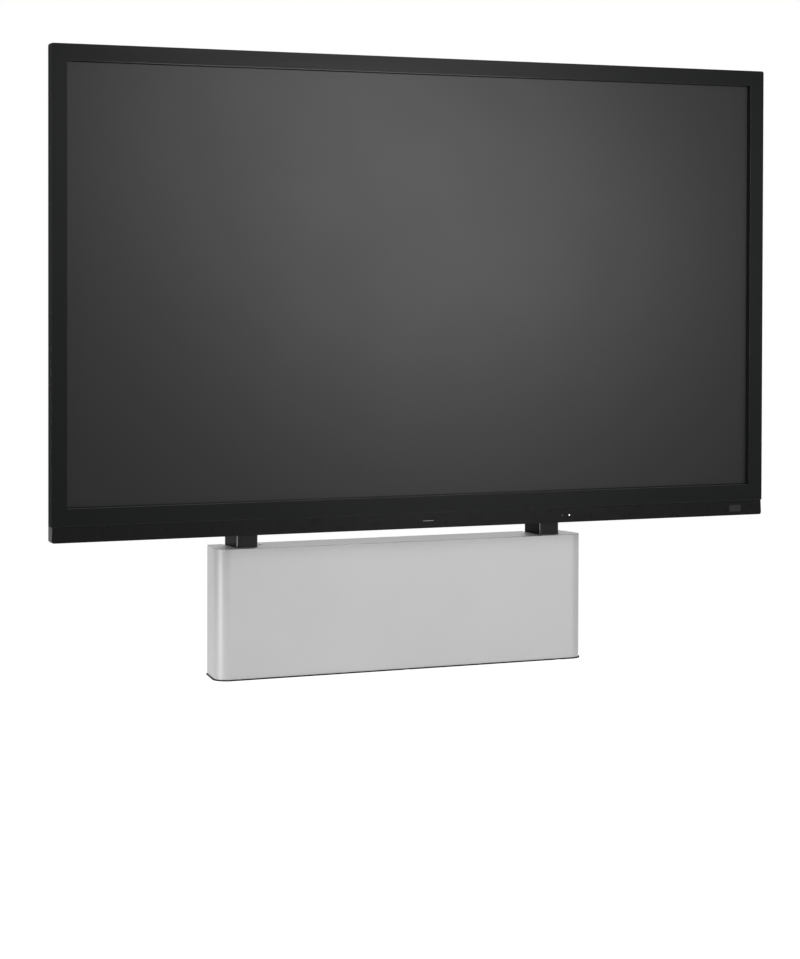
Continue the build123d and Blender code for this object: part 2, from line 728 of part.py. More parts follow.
def cover_outline(back_y):
    """Plan of the cover: sides that spread towards a rounded front."""
    spread = (COVER_FRONT_W - COVER_BACK_W) / 2 / -COVER_FRONT_Y
    back_half = COVER_BACK_W / 2 - spread * back_y
    front_half = COVER_FRONT_W / 2
    corners = (
        (-back_half, back_y),
        (-front_half, COVER_FRONT_Y),
        (front_half, COVER_FRONT_Y),
        (back_half, back_y),
    )
    plan = make_face(Polyline(*corners, close=True))
    return fillet(plan.vertices().group_by(Axis.Y)[0], COVER_CORNER_R)


def cover():
    """Bent and welded cover, open at the back and at the bottom."""
    shell = Pos(0, 0, BASE_TOP) * extrude(cover_outline(-AXIAL_GAP), COVER_H)
    rim = shell.edges().group_by(Axis.Z)[-1].sort_by(Axis.Y)[:-1]
    shell = fillet(rim, COVER_EDGE_R)
    hollow = offset(cover_outline(2 * OVERRUN), -COVER_T)
    shell -= Pos(0, 0, BASE_TOP - COVER_T) * extrude(hollow, COVER_H)
    half = COLUMN_W / 2 + COVER_COLUMN_GAP
    front = -COLUMN_D / 2 - COVER_COLUMN_GAP
    for side in SIDES.values():
        slot = block(-half, half, front, COLUMN_D, COVER_TOP - 2 * COVER_T, COVER_TOP + COVER_T)
        slot = fillet(slot.edges().filter_by(Axis.Z), COLUMN_R)
        shell -= column_place(side) * slot
        shell -= cover_screw_place(side) * Cylinder(SMALL_SCREW_R + SCREW_GAP, 4 * COVER_T)
    return shell


def cover_screw_place(side):
    """Where a screw holds the cover's top, beside the column."""
    x = COLUMN_SPACING / 2 - COLUMN_W / 2 - COVER_SCREW_INSET
    return Pos(side * x, COLUMN_Y, COVER_TOP)


def cover_brackets():
    """Angle brackets from the wall plate to the underside of the cover's top."""
    brackets = []
    top = COVER_TOP - COVER_T
    half = COVER_BRACKET_W / 2
    far = -WALL_PLATE_T - COVER_BRACKET_L
    near = -WALL_PLATE_T
    for side in SIDES.values():
        leg = block(-half, half, near - COVER_BRACKET_T, near, top - COVER_BRACKET_LEG, top)
        shelf = block(-half, half, far, near, top - COVER_BRACKET_T, top)
        place = cover_screw_place(side)
        bracket = Pos(place.position.X, 0, 0) * (leg + shelf)
        brackets.append(bracket - place * Cylinder(SMALL_SCREW_R + SCREW_GAP, 8 * COVER_T))
    return brackets


def cover_screws():
    """The two small screws on the cover's top."""
    length = COVER_T + COVER_BRACKET_T + SMALL_SCREW_R
    body = screw(SMALL_SCREW_R, SMALL_HEAD_R, SMALL_HEAD_H, length)
    return [cover_screw_place(side) * body for side in SIDES.values()]


def base_plate():
    """Base plate, a little larger than the cover, with two release notches."""
    outline = offset(cover_outline(0), BASE_OVERHANG)
    plate = Pos(0, 0, BASE_Z) * extrude(outline, BASE_T)
    wide = COVER_FRONT_W
    plate -= block(-wide, wide, 0, wide, BASE_Z - BASE_T, BASE_TOP + BASE_T)
    front = COVER_FRONT_Y - BASE_OVERHANG
    for x in (0, RELEASE_NOTCH_X):
        low = BASE_Z - BASE_T
        half = RELEASE_NOTCH_W / 2
        plate -= block(x - half, x + half, front - OVERRUN, front + RELEASE_NOTCH_D, low, 0)
    for index in SIDES.values():
        window = RectangleRounded(BUTTON_W + 2 * BUTTON_GAP, BUTTON_D + 2 * BUTTON_GAP, BUTTON_R)
        plate -= button_place(index) * Pos(0, 0, BASE_Z - BASE_T) * extrude(window, 3 * BASE_T)
    inlet = Box(INLET_W + 2 * SCREW_GAP, INLET_D + 2 * SCREW_GAP, 4 * BASE_T)
    return plate - Pos(INLET_X, INLET_Y, BASE_Z) * inlet


# Operating buttons and mains inlet


def button_place(index):
    """The centre line of the upper (+1) or lower (-1) button."""
    return Pos(BUTTON_X + index * BUTTON_PITCH / 2, BUTTON_Y, 0)


def button(index):
    """Button cap with a retaining flange and an arrow cut in its face."""
    face = BASE_Z - BUTTON_PROUD
    flange_z = BASE_TOP + AXIAL_GAP
    cap = rounded_post(BUTTON_W, BUTTON_D, BUTTON_R, face, flange_z + BUTTON_FLANGE_T)
    cap = chamfer(cap.edges().group_by(Axis.Z)[0], BUTTON_PROUD / 4)
    wide = BUTTON_W + 2 * BUTTON_FLANGE
    deep = BUTTON_D + 2 * BUTTON_FLANGE
    cap += rounded_post(wide, deep, BUTTON_R, flange_z, flange_z + BUTTON_FLANGE_T)
    arrow = Rot(0, 0, -90 * index) * RegularPolygon(BUTTON_ARROW_W / 2, 3)
    cap -= Pos(0, 0, face - BUTTON_ARROW_D) * extrude(arrow, 2 * BUTTON_ARROW_D)
    return button_place(index) * cap


def switch_housing():
    """Switch body on the base plate, with a well for each button."""
    half_w = BUTTON_PITCH / 2 + BUTTON_W / 2 + BUTTON_FLANGE + BUTTON_GAP + SWITCH_WALL
    well_d = BUTTON_D / 2 + BUTTON_FLANGE + BUTTON_GAP
    half_d = well_d + SWITCH_WALL
    body = block(-half_w, half_w, -half_d, half_d, BASE_TOP, BASE_TOP + SWITCH_H)
    body = Pos(BUTTON_X, BUTTON_Y, 0) * body
    well_w = BUTTON_W / 2 + BUTTON_FLANGE + BUTTON_GAP
    depth = AXIAL_GAP + BUTTON_FLANGE_T + BUTTON_TRAVEL + BUTTON_GAP
    for index in SIDES.values():
        well = block(-well_w, well_w, -well_d, well_d, BASE_TOP - OVERRUN, BASE_TOP + depth)
        body -= button_place(index) * well
    return body


def power_inlet():
    """Three-pin mains inlet set in the base plate, facing down."""
    flange_low = BASE_Z - INLET_FLANGE_T
    body = block(-INLET_W / 2, INLET_W / 2, -INLET_D / 2, INLET_D / 2, flange_low, BASE_TOP + INLET_H)
    flange = Pos(0, 0, flange_low) * extrude(
        RectangleRounded(INLET_FLANGE_W, INLET_FLANGE_D, INLET_WALL), INLET_FLANGE_T
    )
    socket_w = INLET_W / 2 - INLET_WALL
    socket_d = INLET_D / 2 - INLET_WALL
    floor = BASE_TOP + INLET_H - INLET_WALL
    socket = block(-socket_w, socket_w, -socket_d, socket_d, flange_low - OVERRUN, floor)
    inlet = body + flange - socket
    for index in (-1, 0, 1):
        x = index * INLET_PIN_PITCH
        y = INLET_PIN_D / 2 if index == 0 else -INLET_PIN_D / 4
        half_w = INLET_PIN_W / 2
        half_d = INLET_PIN_D / 2
        inlet += block(x - half_w, x + half_w, y - half_d, y + half_d, BASE_Z, floor)
    return Pos(INLET_X, INLET_Y, 0) * inlet


# Carriage


def carriage_arm(side):
    """Welded arm: a cap on the inner tube, a channel in front of the column and two gussets."""
    half = ARM_W / 2
    front = ARM_FRONT_Y - COLUMN_Y
    back = ARM_BACK_Y - COLUMN_Y
    arm = block(-half, half, front, back, ARM_BOTTOM_Z, ARM_TOP_Z)
    cap_top = INNER_TOP + ARM_CAP_T
    arm += block(-half, half, back, INNER_D / 2, INNER_TOP, cap_top)
    profile = make_face(
        Polyline((back, cap_top), (INNER_D / 2, cap_top), (back, cap_top + ARM_GUSSET_H), close=True)
    )
    for edge in SIDES.values():
        x = edge * half
        inner = edge * (half - ARM_T)
        arm += block(x, inner, back, back + ARM_FLANGE_D, ARM_BOTTOM_Z, ARM_TOP_Z)
        gusset = extrude(Plane.YZ * profile, ARM_T)
        arm += Pos(min(x, inner), 0, 0) * gusset
    return column_place(side) * arm


def crossbar(z):
    """Slotted channel that joins the two arms."""
    half = CROSSBAR_L / 2
    tall = CROSSBAR_H / 2
    back = ARM_FRONT_Y
    front = CROSSBAR_FRONT_Y
    bar = block(-half, half, front, back, z - tall, z + tall)
    hollow_front = front + CROSSBAR_T
    inner = tall - CROSSBAR_T
    bar -= block(-half - OVERRUN, half + OVERRUN, hollow_front, back + OVERRUN, z - inner, z + inner)
    pitch = CROSSBAR_L / CROSSBAR_SLOTS
    slot = SlotOverall(CROSSBAR_SLOT_L, CROSSBAR_SLOT_W)
    for index in range(CROSSBAR_SLOTS):
        x = (index - (CROSSBAR_SLOTS - 1) / 2) * pitch
        bar -= facing_front(x, front + 2 * CROSSBAR_T, z) * extrude(slot, 4 * CROSSBAR_T)
    return bar


def display_hole_heights():
    """Heights of the two rows of display screws."""
    half = DISPLAY_HOLE_SPACING_Z / 2
    return (DISPLAY_MID_Z - half, DISPLAY_MID_Z + half)


def mount_rail(side):
    """Vertical rail screwed to the display, which hooks over the upper crossbar."""
    half = MOUNT_RAIL_W / 2
    low = DISPLAY_MID_Z - MOUNT_RAIL_L / 2
    high = DISPLAY_MID_Z + MOUNT_RAIL_L / 2
    web_back = DISPLAY_BACK_Y + MOUNT_RAIL_T
    rail = block(-half, half, DISPLAY_BACK_Y, web_back, low, high)
    bar_top = CROSSBAR_UPPER_Z + CROSSBAR_H / 2 + AXIAL_GAP
    hook_back = ARM_FRONT_Y + AXIAL_GAP + HOOK_T
    profile = make_face(
        Polyline(
            (DISPLAY_BACK_Y, low),
            (CROSSBAR_FRONT_Y, low),
            (CROSSBAR_FRONT_Y, bar_top),
            (ARM_FRONT_Y + AXIAL_GAP, bar_top),
            (ARM_FRONT_Y + AXIAL_GAP, bar_top - HOOK_DROP),
            (hook_back, bar_top - HOOK_DROP),
            (hook_back, bar_top + HOOK_H),
            (CROSSBAR_FRONT_Y, bar_top + HOOK_H),
            (CROSSBAR_FRONT_Y, high),
            (DISPLAY_BACK_Y, high),
            close=True,
        )
    )
    for edge in SIDES.values():
        wall = extrude(Plane.YZ * profile, MOUNT_RAIL_T)
        rail += Pos(min(edge * half, edge * (half - MOUNT_RAIL_T)), 0, 0) * wall
    for z in display_hole_heights():
        hole = facing_front(0, DISPLAY_BACK_Y, z)
        rail -= hole * Cylinder(DISPLAY_SCREW_R + SCREW_GAP, 4 * MOUNT_RAIL_T)
    return Pos(side * DISPLAY_HOLE_SPACING_X / 2, 0, 0) * rail


def display_screws():
    """Four screws through the mount rails into the display."""
    body = screw(DISPLAY_SCREW_R, DISPLAY_HEAD_R, DISPLAY_HEAD_H, DISPLAY_SCREW_DEPTH)
    screws = []
    for side in SIDES.values():
        for z in display_hole_heights():
            x = side * DISPLAY_HOLE_SPACING_X / 2
            screws.append(Pos(x, DISPLAY_BACK_Y + MOUNT_RAIL_T, z) * Rot(-90, 0, 0) * body)
    return screws


# Display


def screen_box(margin, y0, y1):
    """A box over the screen opening, larger by the margin on every side."""
    half_w = SCREEN_W / 2 + margin
    half_h = SCREEN_H / 2 + margin
    return block(-half_w, half_w, y0, y1, SCREEN_Z - half_h, SCREEN_Z + half_h)


def mitre_prisms(outer, inner):
    """Four prisms that split a frame at its mitres, from two (x, low z, high z) rectangles."""
    ox, o_low, o_high = outer
    ix, i_low, i_high = inner
    quads = {
        "top": ((-ox, o_high), (ox, o_high), (ix, i_high), (-ix, i_high)),
        "bottom": ((-ox, o_low), (ox, o_low), (ix, i_low), (-ix, i_low)),
        "left": ((-ox, o_low), (-ox, o_high), (-ix, i_high), (-ix, i_low)),
        "right": ((ox, o_low), (ox, o_high), (ix, i_high), (ix, i_low)),
    }
    prisms = {}
    for name, quad in quads.items():
        face = Plane.XZ * make_face(Polyline(*quad, close=True))
        prisms[name] = Pos(0, BEZEL_BACK_Y, 0) * extrude(face, BEZEL_D)
    return prisms


def bezel_rails():
    """Mitred frame rails that hold the glass, with a step behind their front face."""
    half = DISPLAY_W / 2
    frame = block(-half, half, BEZEL_FRONT_Y, BEZEL_BACK_Y, FRAME_Z, DISPLAY_TOP)
    corners = frame.edges().filter_by(Axis.Y).group_by(Axis.Z)[-1]
    frame = fillet(corners, BEZEL_CORNER_R)
    frame -= screen_box(0, BEZEL_FRONT_Y - OVERRUN, BEZEL_BACK_Y + OVERRUN)
    frame -= block(
        -half + BEZEL_LIP,
        half - BEZEL_LIP,
        GLASS_FRONT_Y,
        BEZEL_BACK_Y + OVERRUN,
        FRAME_Z + BEZEL_LIP,
        DISPLAY_TOP - BEZEL_LIP,
    )
    outer = (half, FRAME_Z, DISPLAY_TOP)
    inner = (SCREEN_W / 2, SCREEN_Z - SCREEN_H / 2, SCREEN_Z + SCREEN_H / 2)
    return {name: frame & prism for name, prism in mitre_prisms(outer, inner).items()}


def ir_strips():
    """Dark infrared windows that slope from the bezel's edge down to the glass."""
    front = BEZEL_FRONT_Y + IR_FRONT
    half_w = SCREEN_W / 2
    half_h = SCREEN_H / 2
    centre = Pos(0, 0, SCREEN_Z)
    mouth = Plane.XZ * Rectangle(2 * half_w - 2 * IR_FRONT, 2 * half_h - 2 * IR_FRONT)
    throat = Plane.XZ * Rectangle(2 * half_w - 2 * IR_SLOPE, 2 * half_h - 2 * IR_SLOPE)
    ring = screen_box(0, front, GLASS_FRONT_Y)
    ring -= centre * loft([Pos(0, front, 0) * mouth, Pos(0, GLASS_FRONT_Y, 0) * throat])
    outer = (half_w, SCREEN_Z - half_h, SCREEN_Z + half_h)
    reach = 2 * IR_SLOPE
    inner = (half_w - reach, SCREEN_Z - half_h + reach, SCREEN_Z + half_h - reach)
    return [ring & prism for prism in mitre_prisms(outer, inner).values()]


def screen_glass():
    """Anti-glare touch glass."""
    margin = min(BEZEL_SIDE, BEZEL_TOP, BEZEL_BOTTOM) - BEZEL_LIP - GLASS_GAP
    return screen_box(margin, GLASS_FRONT_Y, GLASS_FRONT_Y + GLASS_T)


def lcd_panel():
    """Panel and backlight behind the glass."""
    front = GLASS_FRONT_Y + GLASS_T
    return screen_box(PANEL_MARGIN, front, front + PANEL_T)


def lower_bar():
    """Bar under the screen, flared towards its rounded foot, with a tongue behind the groove."""
    top_half = DISPLAY_W / 2 - BAR_TOP_INSET
    bottom_half = DISPLAY_W / 2 - BAR_BOTTOM_INSET
    outline = make_face(
        Polyline(
            (-bottom_half, DISPLAY_Z),
            (bottom_half, DISPLAY_Z),
            (top_half, GROOVE_Z),
            (-top_half, GROOVE_Z),
            close=True,
        )
    )
    outline = fillet(outline.vertices().group_by(Axis.Y)[0], BAR_CORNER_R)
    bar = Pos(0, BEZEL_BACK_Y, 0) * extrude(Plane.XZ * outline, BEZEL_D)
    tongue = DISPLAY_W / 2 - TONGUE_INSET
    bar += block(-tongue, tongue, BEZEL_FRONT_Y + GROOVE_D, BEZEL_BACK_Y, GROOVE_Z, FRAME_Z)
    window = RectangleRounded(SENSOR_W, SENSOR_H, SENSOR_R)
    bar -= bar_front(SENSOR_X) * extrude(window, -SENSOR_T)
    bar -= bar_front(LED_X) * extrude(Circle(LED_R), -LIGHT_DEPTH)
    bar -= bar_front(DOT_X) * extrude(Circle(DOT_R), -LIGHT_DEPTH)
    bar -= bar_front(0) * extrude(Rectangle(GUIDE_W, GUIDE_H), -LIGHT_DEPTH)
    return bar


def bar_front(x):
    """A place on the bar's front face, half way up."""
    return facing_front(x, BEZEL_FRONT_Y, DISPLAY_Z + BAR_H / 2)


def sensor_window():
    """Smoked window of the remote and light sensor."""
    window = RectangleRounded(SENSOR_W, SENSOR_H, SENSOR_R)
    return bar_front(SENSOR_X) * extrude(window, -SENSOR_T)


def status_lights():
    """Status light, its small neighbour and the plain light guide at the centre."""
    lights = [bar_front(LED_X) * extrude(Circle(LED_R), -LIGHT_DEPTH)]
    lights.append(bar_front(DOT_X) * extrude(Circle(DOT_R), -LIGHT_DEPTH))
    lights.append(bar_front(0) * extrude(Rectangle(GUIDE_W, GUIDE_H), -LIGHT_DEPTH))
    return lights


def tray_solid(inset):
    """The rear tray's outer form, drawn in by the inset."""
    wide = DISPLAY_W - 2 * (REAR_INSET + inset)
    tall = DISPLAY_TOP - DISPLAY_Z - 2 * (REAR_INSET + inset)
    rim_back = BEZEL_BACK_Y + REAR_RIM_D
    end = TRAY_BACK_Y - inset
    place = Pos(0, 0, DISPLAY_MID_Z)
    rim = block(-wide / 2, wide / 2, BEZEL_BACK_Y, rim_back, -tall / 2, tall / 2)
    big = Plane.XZ * Rectangle(wide, tall)
    small = Plane.XZ * Rectangle(wide - 2 * REAR_TAPER, tall - 2 * REAR_TAPER)
    taper = loft([Pos(0, rim_back, 0) * big, Pos(0, end, 0) * small])
    return place * (rim + taper)


def rear_cover():
    """Pressed rear tray of the display with rows of vents near its top."""
    tray = tray_solid(0) - tray_solid(REAR_T)
    mid = DISPLAY_MID_Z
    window_w = BOX_W - 4 * BOX_TAPER
    window_h = BOX_H - 4 * BOX_TAPER
    tray -= Pos(0, TRAY_BACK_Y, mid) * Box(window_w, 4 * REAR_T, window_h)
    z = DISPLAY_TOP - REAR_VENT_DROP
    for group in range(REAR_VENT_GROUPS):
        centre = (group - (REAR_VENT_GROUPS - 1) / 2) * REAR_VENT_GROUP_PITCH
        for index in range(REAR_VENTS):
            x = centre + (index - (REAR_VENTS - 1) / 2) * REAR_VENT_PITCH
            tray -= Pos(x, TRAY_BACK_Y, z) * Box(REAR_VENT_W, 4 * REAR_T, REAR_VENT_H)
    return tray


def electronics_cover():
    """Raised cover over the electronics, which takes the display screws."""
    def form(inset, back):
        big = Plane.XZ * Rectangle(BOX_W - 2 * inset, BOX_H - 2 * inset)
        small_w = BOX_W - 2 * (BOX_TAPER + inset)
        small_h = BOX_H - 2 * (BOX_TAPER + inset)
        small = Plane.XZ * Rectangle(small_w, small_h)
        return loft([Pos(0, TRAY_BACK_Y, 0) * big, Pos(0, back, 0) * small])

    lid = Pos(0, 0, DISPLAY_MID_Z) * (form(0, DISPLAY_BACK_Y) - form(BOX_T, DISPLAY_BACK_Y - BOX_T))
    for side in SIDES.values():
        for z in display_hole_heights():
            hole = facing_front(side * DISPLAY_HOLE_SPACING_X / 2, DISPLAY_BACK_Y, z)
            lid -= hole * Cylinder(DISPLAY_SCREW_R + SCREW_GAP, 4 * BOX_T)
    return lid


# Export


def build():
    """Every node of the lift by name."""
    bezel = bezel_rails()
    nodes = {
        "wall_plate": wall_plate(),
        "wall_rail": wall_rail(),
        "column_clamps": column_clamps(),
        "clamp_screws": clamp_screws(),
        "column_feet": column_feet(),
        "spindle_bearings": spindle_bearings(),
        "shaft_bearings": shaft_bearings(),
        "gearbox_lids": gearbox_lids(),
        "drive_hub": drive_hub(),
        "gearmotor_case": gearmotor_case(),
        "motor_can": motor_can(),
        "control_box": control_box(),
        "control_box_lid": control_box_lid(),
        "cover": cover(),
        "cover_brackets": cover_brackets(),
        "cover_screws": cover_screws(),
        "base_plate": base_plate(),
        "button_up": button(1),
        "button_down": button(-1),
        "switch_housing": switch_housing(),
        "power_inlet": power_inlet(),
        "crossbar_upper": crossbar(CROSSBAR_UPPER_Z),
        "crossbar_lower": crossbar(CROSSBAR_LOWER_Z),
        "display_screws": display_screws(),
        "bezel_top": bezel["top"],
        "bezel_bottom": bezel["bottom"],
        "bezel_left": bezel["left"],
        "bezel_right": bezel["right"],
        "ir_strips": ir_strips(),
        "screen_glass": screen_glass(),
        "lcd_panel": lcd_panel(),
        "lower_bar": lower_bar(),
        "sensor_window": sensor_window(),
        "status_lights": status_lights(),
        "rear_cover": rear_cover(),
        "electronics_cover": electronics_cover(),
    }
    pairs = {
        "outer_column": outer_column,
        "inner_column": inner_column,
        "glide_collar": glide_collar,
        "glide_shoe": glide_shoe,
        "spindle": spindle,
        "spindle_nut": spindle_nut,
        "bevel_gear": bevel_gear,
        "bevel_pinion": bevel_pinion,
        "gearbox_housing": gearbox_housing,
        "drive_shaft": drive_shaft,
        "carriage_arm": carriage_arm,
        "mount_rail": mount_rail,
    }
    for name, make in pairs.items():
        for word, side in SIDES.items():
            nodes[f"{name}_{word}"] = make(side)
    return nodes


def main():
    """Write one STEP file per node."""
    os.makedirs("parts", exist_ok=True)
    nodes = build()
    for name, shape in nodes.items():
        pieces = shape if isinstance(shape, list) else [shape]
        solids = [solid for piece in pieces for solid in piece.solids()]
        export_step(Compound(children=solids), f"parts/{name}.step")
    turns = STROKE / SPINDLE_LEAD
    print(f"{len(nodes)} nodes; the spindles turn {turns:.1f} times, {2 * pi / SPINDLE_LEAD:.4f} rad per mm")


main()
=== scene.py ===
import json
from math import cos, pi, radians, sin

import bmesh
import bpy
from mathutils import Matrix, Quaternion, Vector

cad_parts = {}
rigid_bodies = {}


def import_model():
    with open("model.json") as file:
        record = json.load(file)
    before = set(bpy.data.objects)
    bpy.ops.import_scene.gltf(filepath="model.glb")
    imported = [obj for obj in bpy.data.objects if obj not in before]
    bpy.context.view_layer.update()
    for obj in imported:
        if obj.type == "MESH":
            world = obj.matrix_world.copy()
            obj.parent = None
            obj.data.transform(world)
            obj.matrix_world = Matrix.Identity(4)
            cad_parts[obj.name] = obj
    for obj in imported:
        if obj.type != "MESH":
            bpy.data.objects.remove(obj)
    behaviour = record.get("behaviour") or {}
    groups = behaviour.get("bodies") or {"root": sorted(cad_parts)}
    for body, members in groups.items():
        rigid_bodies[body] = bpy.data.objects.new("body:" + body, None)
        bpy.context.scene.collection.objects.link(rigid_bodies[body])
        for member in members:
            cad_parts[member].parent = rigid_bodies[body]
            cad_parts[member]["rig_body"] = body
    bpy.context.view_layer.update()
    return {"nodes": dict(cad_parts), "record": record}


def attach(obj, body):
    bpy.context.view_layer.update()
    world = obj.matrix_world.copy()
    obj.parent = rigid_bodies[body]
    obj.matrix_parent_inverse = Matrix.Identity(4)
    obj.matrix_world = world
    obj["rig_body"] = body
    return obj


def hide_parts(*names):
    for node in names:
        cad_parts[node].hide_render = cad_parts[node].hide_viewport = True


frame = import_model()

# Camera, solved from the photograph's edges
CAMERA_PLACE = Vector((-2.3384, -5.3438, 0.4120))
CAMERA_YAW = radians(23.921)
CAMERA_PITCH = radians(1.0861)
CAMERA_ROLL = radians(0.1366)
CAMERA_LENS = 95.19
CAMERA_SHIFT_Y = -0.163
SENSOR = 36.0

# Floor and background
FLOOR_Z = -1.35
FLOOR_HALF = 14.0
FLOOR_GLOW = 0.86
WORLD_LIGHT = 0.18

# An edge turns more than SHARP. Facets turning less than FLAT are joined, and so are points
# closer than JOINED. A face leaning both ways by more than MITRE_SLANT is part of a mitre joint.
SHARP = radians(32)
FLAT = radians(0.6)
JOINED = 0.000002
MITRE_SLANT = 0.2

STILL = Matrix.Identity(4)

scene = bpy.context.scene
nodes = frame["nodes"]


# Shader building


class Finish:
    """One procedural material, built round a Principled shader."""

    def __init__(self, name, colour, roughness, metallic=0.0, specular=0.5):
        self.material = bpy.data.materials.new(name)
        self.material.use_nodes = True
        self.tree = self.material.node_tree
        self.shader = self.tree.nodes["Principled BSDF"]
        self.shader.inputs["Metallic"].default_value = metallic
        self.shader.inputs["Specular IOR Level"].default_value = specular
        self.shader.inputs["Roughness"].default_value = roughness
        self.shader.inputs["Base Color"].default_value = (*colour, 1)
        self.place = self.add("ShaderNodeTexCoord").outputs["Object"]
        self.colour = None
        self.base = colour
        self.roughness = roughness
        self.heights = []
        self.normal = None

    def add(self, kind, **values):
        node = self.tree.nodes.new(kind)
        for key, value in values.items():
            setattr(node, key, value)
        return node

    def join(self, source, target):
        self.tree.links.new(source, target)

    def stretched(self, scale):
        """Object coordinates scaled per axis."""
        mapping = self.add("ShaderNodeMapping")
        mapping.inputs["Scale"].default_value = scale
        self.join(self.place, mapping.inputs["Vector"])
        return mapping.outputs["Vector"]

    def noise(self, scale, detail=3.0, where=None, rough=0.55):
        node = self.add("ShaderNodeTexNoise")
        node.inputs["Scale"].default_value = scale
        node.inputs["Detail"].default_value = detail
        node.inputs["Roughness"].default_value = rough
        self.join(where or self.place, node.inputs["Vector"])
        return node.outputs["Fac"]

    def cells(self, scale, feature="F1", where=None):
        node = self.add("ShaderNodeTexVoronoi", feature=feature)
        node.inputs["Scale"].default_value = scale
        self.join(where or self.place, node.inputs["Vector"])
        return node

    def remap(self, source, low, high, to_low, to_high):
        node = self.add("ShaderNodeMapRange")
        limits = {"From Min": low, "From Max": high, "To Min": to_low, "To Max": to_high}
        for key, value in limits.items():
            node.inputs[key].default_value = value
        self.join(source, node.inputs["Value"])
        return node.outputs["Result"]

    def tint(self, mask, colour):
        """Mixes a second colour in where the mask is 1."""
        mix = self.add("ShaderNodeMix", data_type="RGBA")
        if self.colour is None:
            mix.inputs["A"].default_value = (*self.base, 1)
        else:
            self.join(self.colour, mix.inputs["A"])
        mix.inputs["B"].default_value = (*colour, 1)
        self.join(mask, mix.inputs["Factor"])
        self.colour = mix.outputs["Result"]

    def mottle(self, scale, amount, where=None):
        """Slow, slight changes of tone, as a real coat or casting has."""
        light = tuple(min(1, c * (1 + amount)) for c in self.base)
        dark = tuple(c * (1 - amount) for c in self.base)
        self.base = dark
        self.tint(self.remap(self.noise(scale, 4, where), 0.3, 0.7, 0, 1), light)

    def vary_roughness(self, scale, amount, where=None):
        low, high = self.roughness - amount, self.roughness + amount
        value = self.remap(self.noise(scale, 4, where), 0.25, 0.75, low, high)
        self.join(value, self.shader.inputs["Roughness"])

    def painted_sheen(self, front, corner_highlight, side):
        """Specular level set by how far a surface turns: satin front, raised on rounded corners
        for a painted highlight line, lowered on the sides for painted shade.
        """
        slant = self.add("ShaderNodeSeparateXYZ")
        self.join(self.add("ShaderNodeTexCoord").outputs["Normal"], slant.inputs["Vector"])
        size = self.add("ShaderNodeMath", operation="ABSOLUTE")
        self.join(slant.outputs["Y"], size.inputs[0])
        rise = self.remap(size.outputs["Value"], 0.97, 0.90, front, corner_highlight)
        fall = self.remap(size.outputs["Value"], 0.45, 0.25, 1, side / corner_highlight)
        both = self.add("ShaderNodeMath", operation="MULTIPLY")
        self.join(rise, both.inputs[0])
        self.join(fall, both.inputs[1])
        self.join(both.outputs["Value"], self.shader.inputs["Specular IOR Level"])

    def raise_by(self, height, depth):
        """Adds a bump, its depth in metres."""
        self.heights.append((height, depth))

    def edges(self, radius, colour=None, amount=0.5):
        """Rounds the look of edges, and lets a worn tone show along them."""
        bevel = self.add("ShaderNodeBevel", samples=4)
        bevel.inputs["Radius"].default_value = radius
        self.normal = bevel.outputs["Normal"]
        if colour is None:
            return
        geometry = self.add("ShaderNodeNewGeometry")
        dot = self.add("ShaderNodeVectorMath", operation="DOT_PRODUCT")
        self.join(self.normal, dot.inputs[0])
        self.join(geometry.outputs["Normal"], dot.inputs[1])
        edge = self.remap(dot.outputs["Value"], 0.995, 0.9, 0, amount)
        broken = self.remap(self.noise(140, 5), 0.42, 0.62, 0.25, 1)
        both = self.add("ShaderNodeMath", operation="MULTIPLY")
        self.join(edge, both.inputs[0])
        self.join(broken, both.inputs[1])
        self.tint(both.outputs["Value"], colour)

    def done(self):
        if self.colour is not None:
            self.join(self.colour, self.shader.inputs["Base Color"])
        normal = self.normal
        for height, depth in self.heights:
            bump = self.add("ShaderNodeBump")
            bump.inputs["Strength"].default_value = 1.0
            bump.inputs["Distance"].default_value = depth
            self.join(height, bump.inputs["Height"])
            if normal is not None:
                self.join(normal, bump.inputs["Normal"])
            normal = bump.outputs["Normal"]
        if normal is not None:
            self.join(normal, self.shader.inputs["Normal"])
        return self.material


def powder_coat(name, colour, roughness, specular=0.5, worn=None, grain=0.00002):
    """Baked powder coat: orange peel under a fine grain."""
    made = Finish(name, colour, roughness, specular=specular)
    made.mottle(9, 0.10)
    made.vary_roughness(35, 0.05)
    made.edges(0.0008, worn, 0.35)
    made.raise_by(made.noise(420, 2), grain)
    made.raise_by(made.noise(1900, 2), grain / 3)
    return made.done()


def moulded(name, colour, roughness, specular=0.5, grain=0.000015):
    """Injection-moulded plastic with a spark-eroded grain."""
    made = Finish(name, colour, roughness, specular=specular)
    made.mottle(14, 0.08)
    made.vary_roughness(60, 0.05)
    made.edges(0.0005)
    made.raise_by(made.noise(1500, 3), grain)
    return made.done()


def anodised(name, colour, roughness, along, specular=0.5, corner_highlight=None, side=None):
    """Extruded, anodised profile: faint die lines along its length."""
    made = Finish(name, colour, roughness, specular=specular)
    stretch = tuple(6 if axis == along else 900 for axis in "xyz")
    lines = made.noise(1.0, 2, made.stretched(stretch))
    made.mottle(5, 0.08)
    made.vary_roughness(1.0, 0.04, made.stretched(tuple(v / 3 for v in stretch)))
    made.edges(0.0007, tuple(min(1, c * 4 + 0.03) for c in colour), 0.25)
    # The corner and side levels paint a highlight on rounded corners and shade on the sides,
    # through the specular level.
    if corner_highlight:
        made.painted_sheen(specular, corner_highlight, side)
    made.raise_by(lines, 0.000006)
    return made.done()


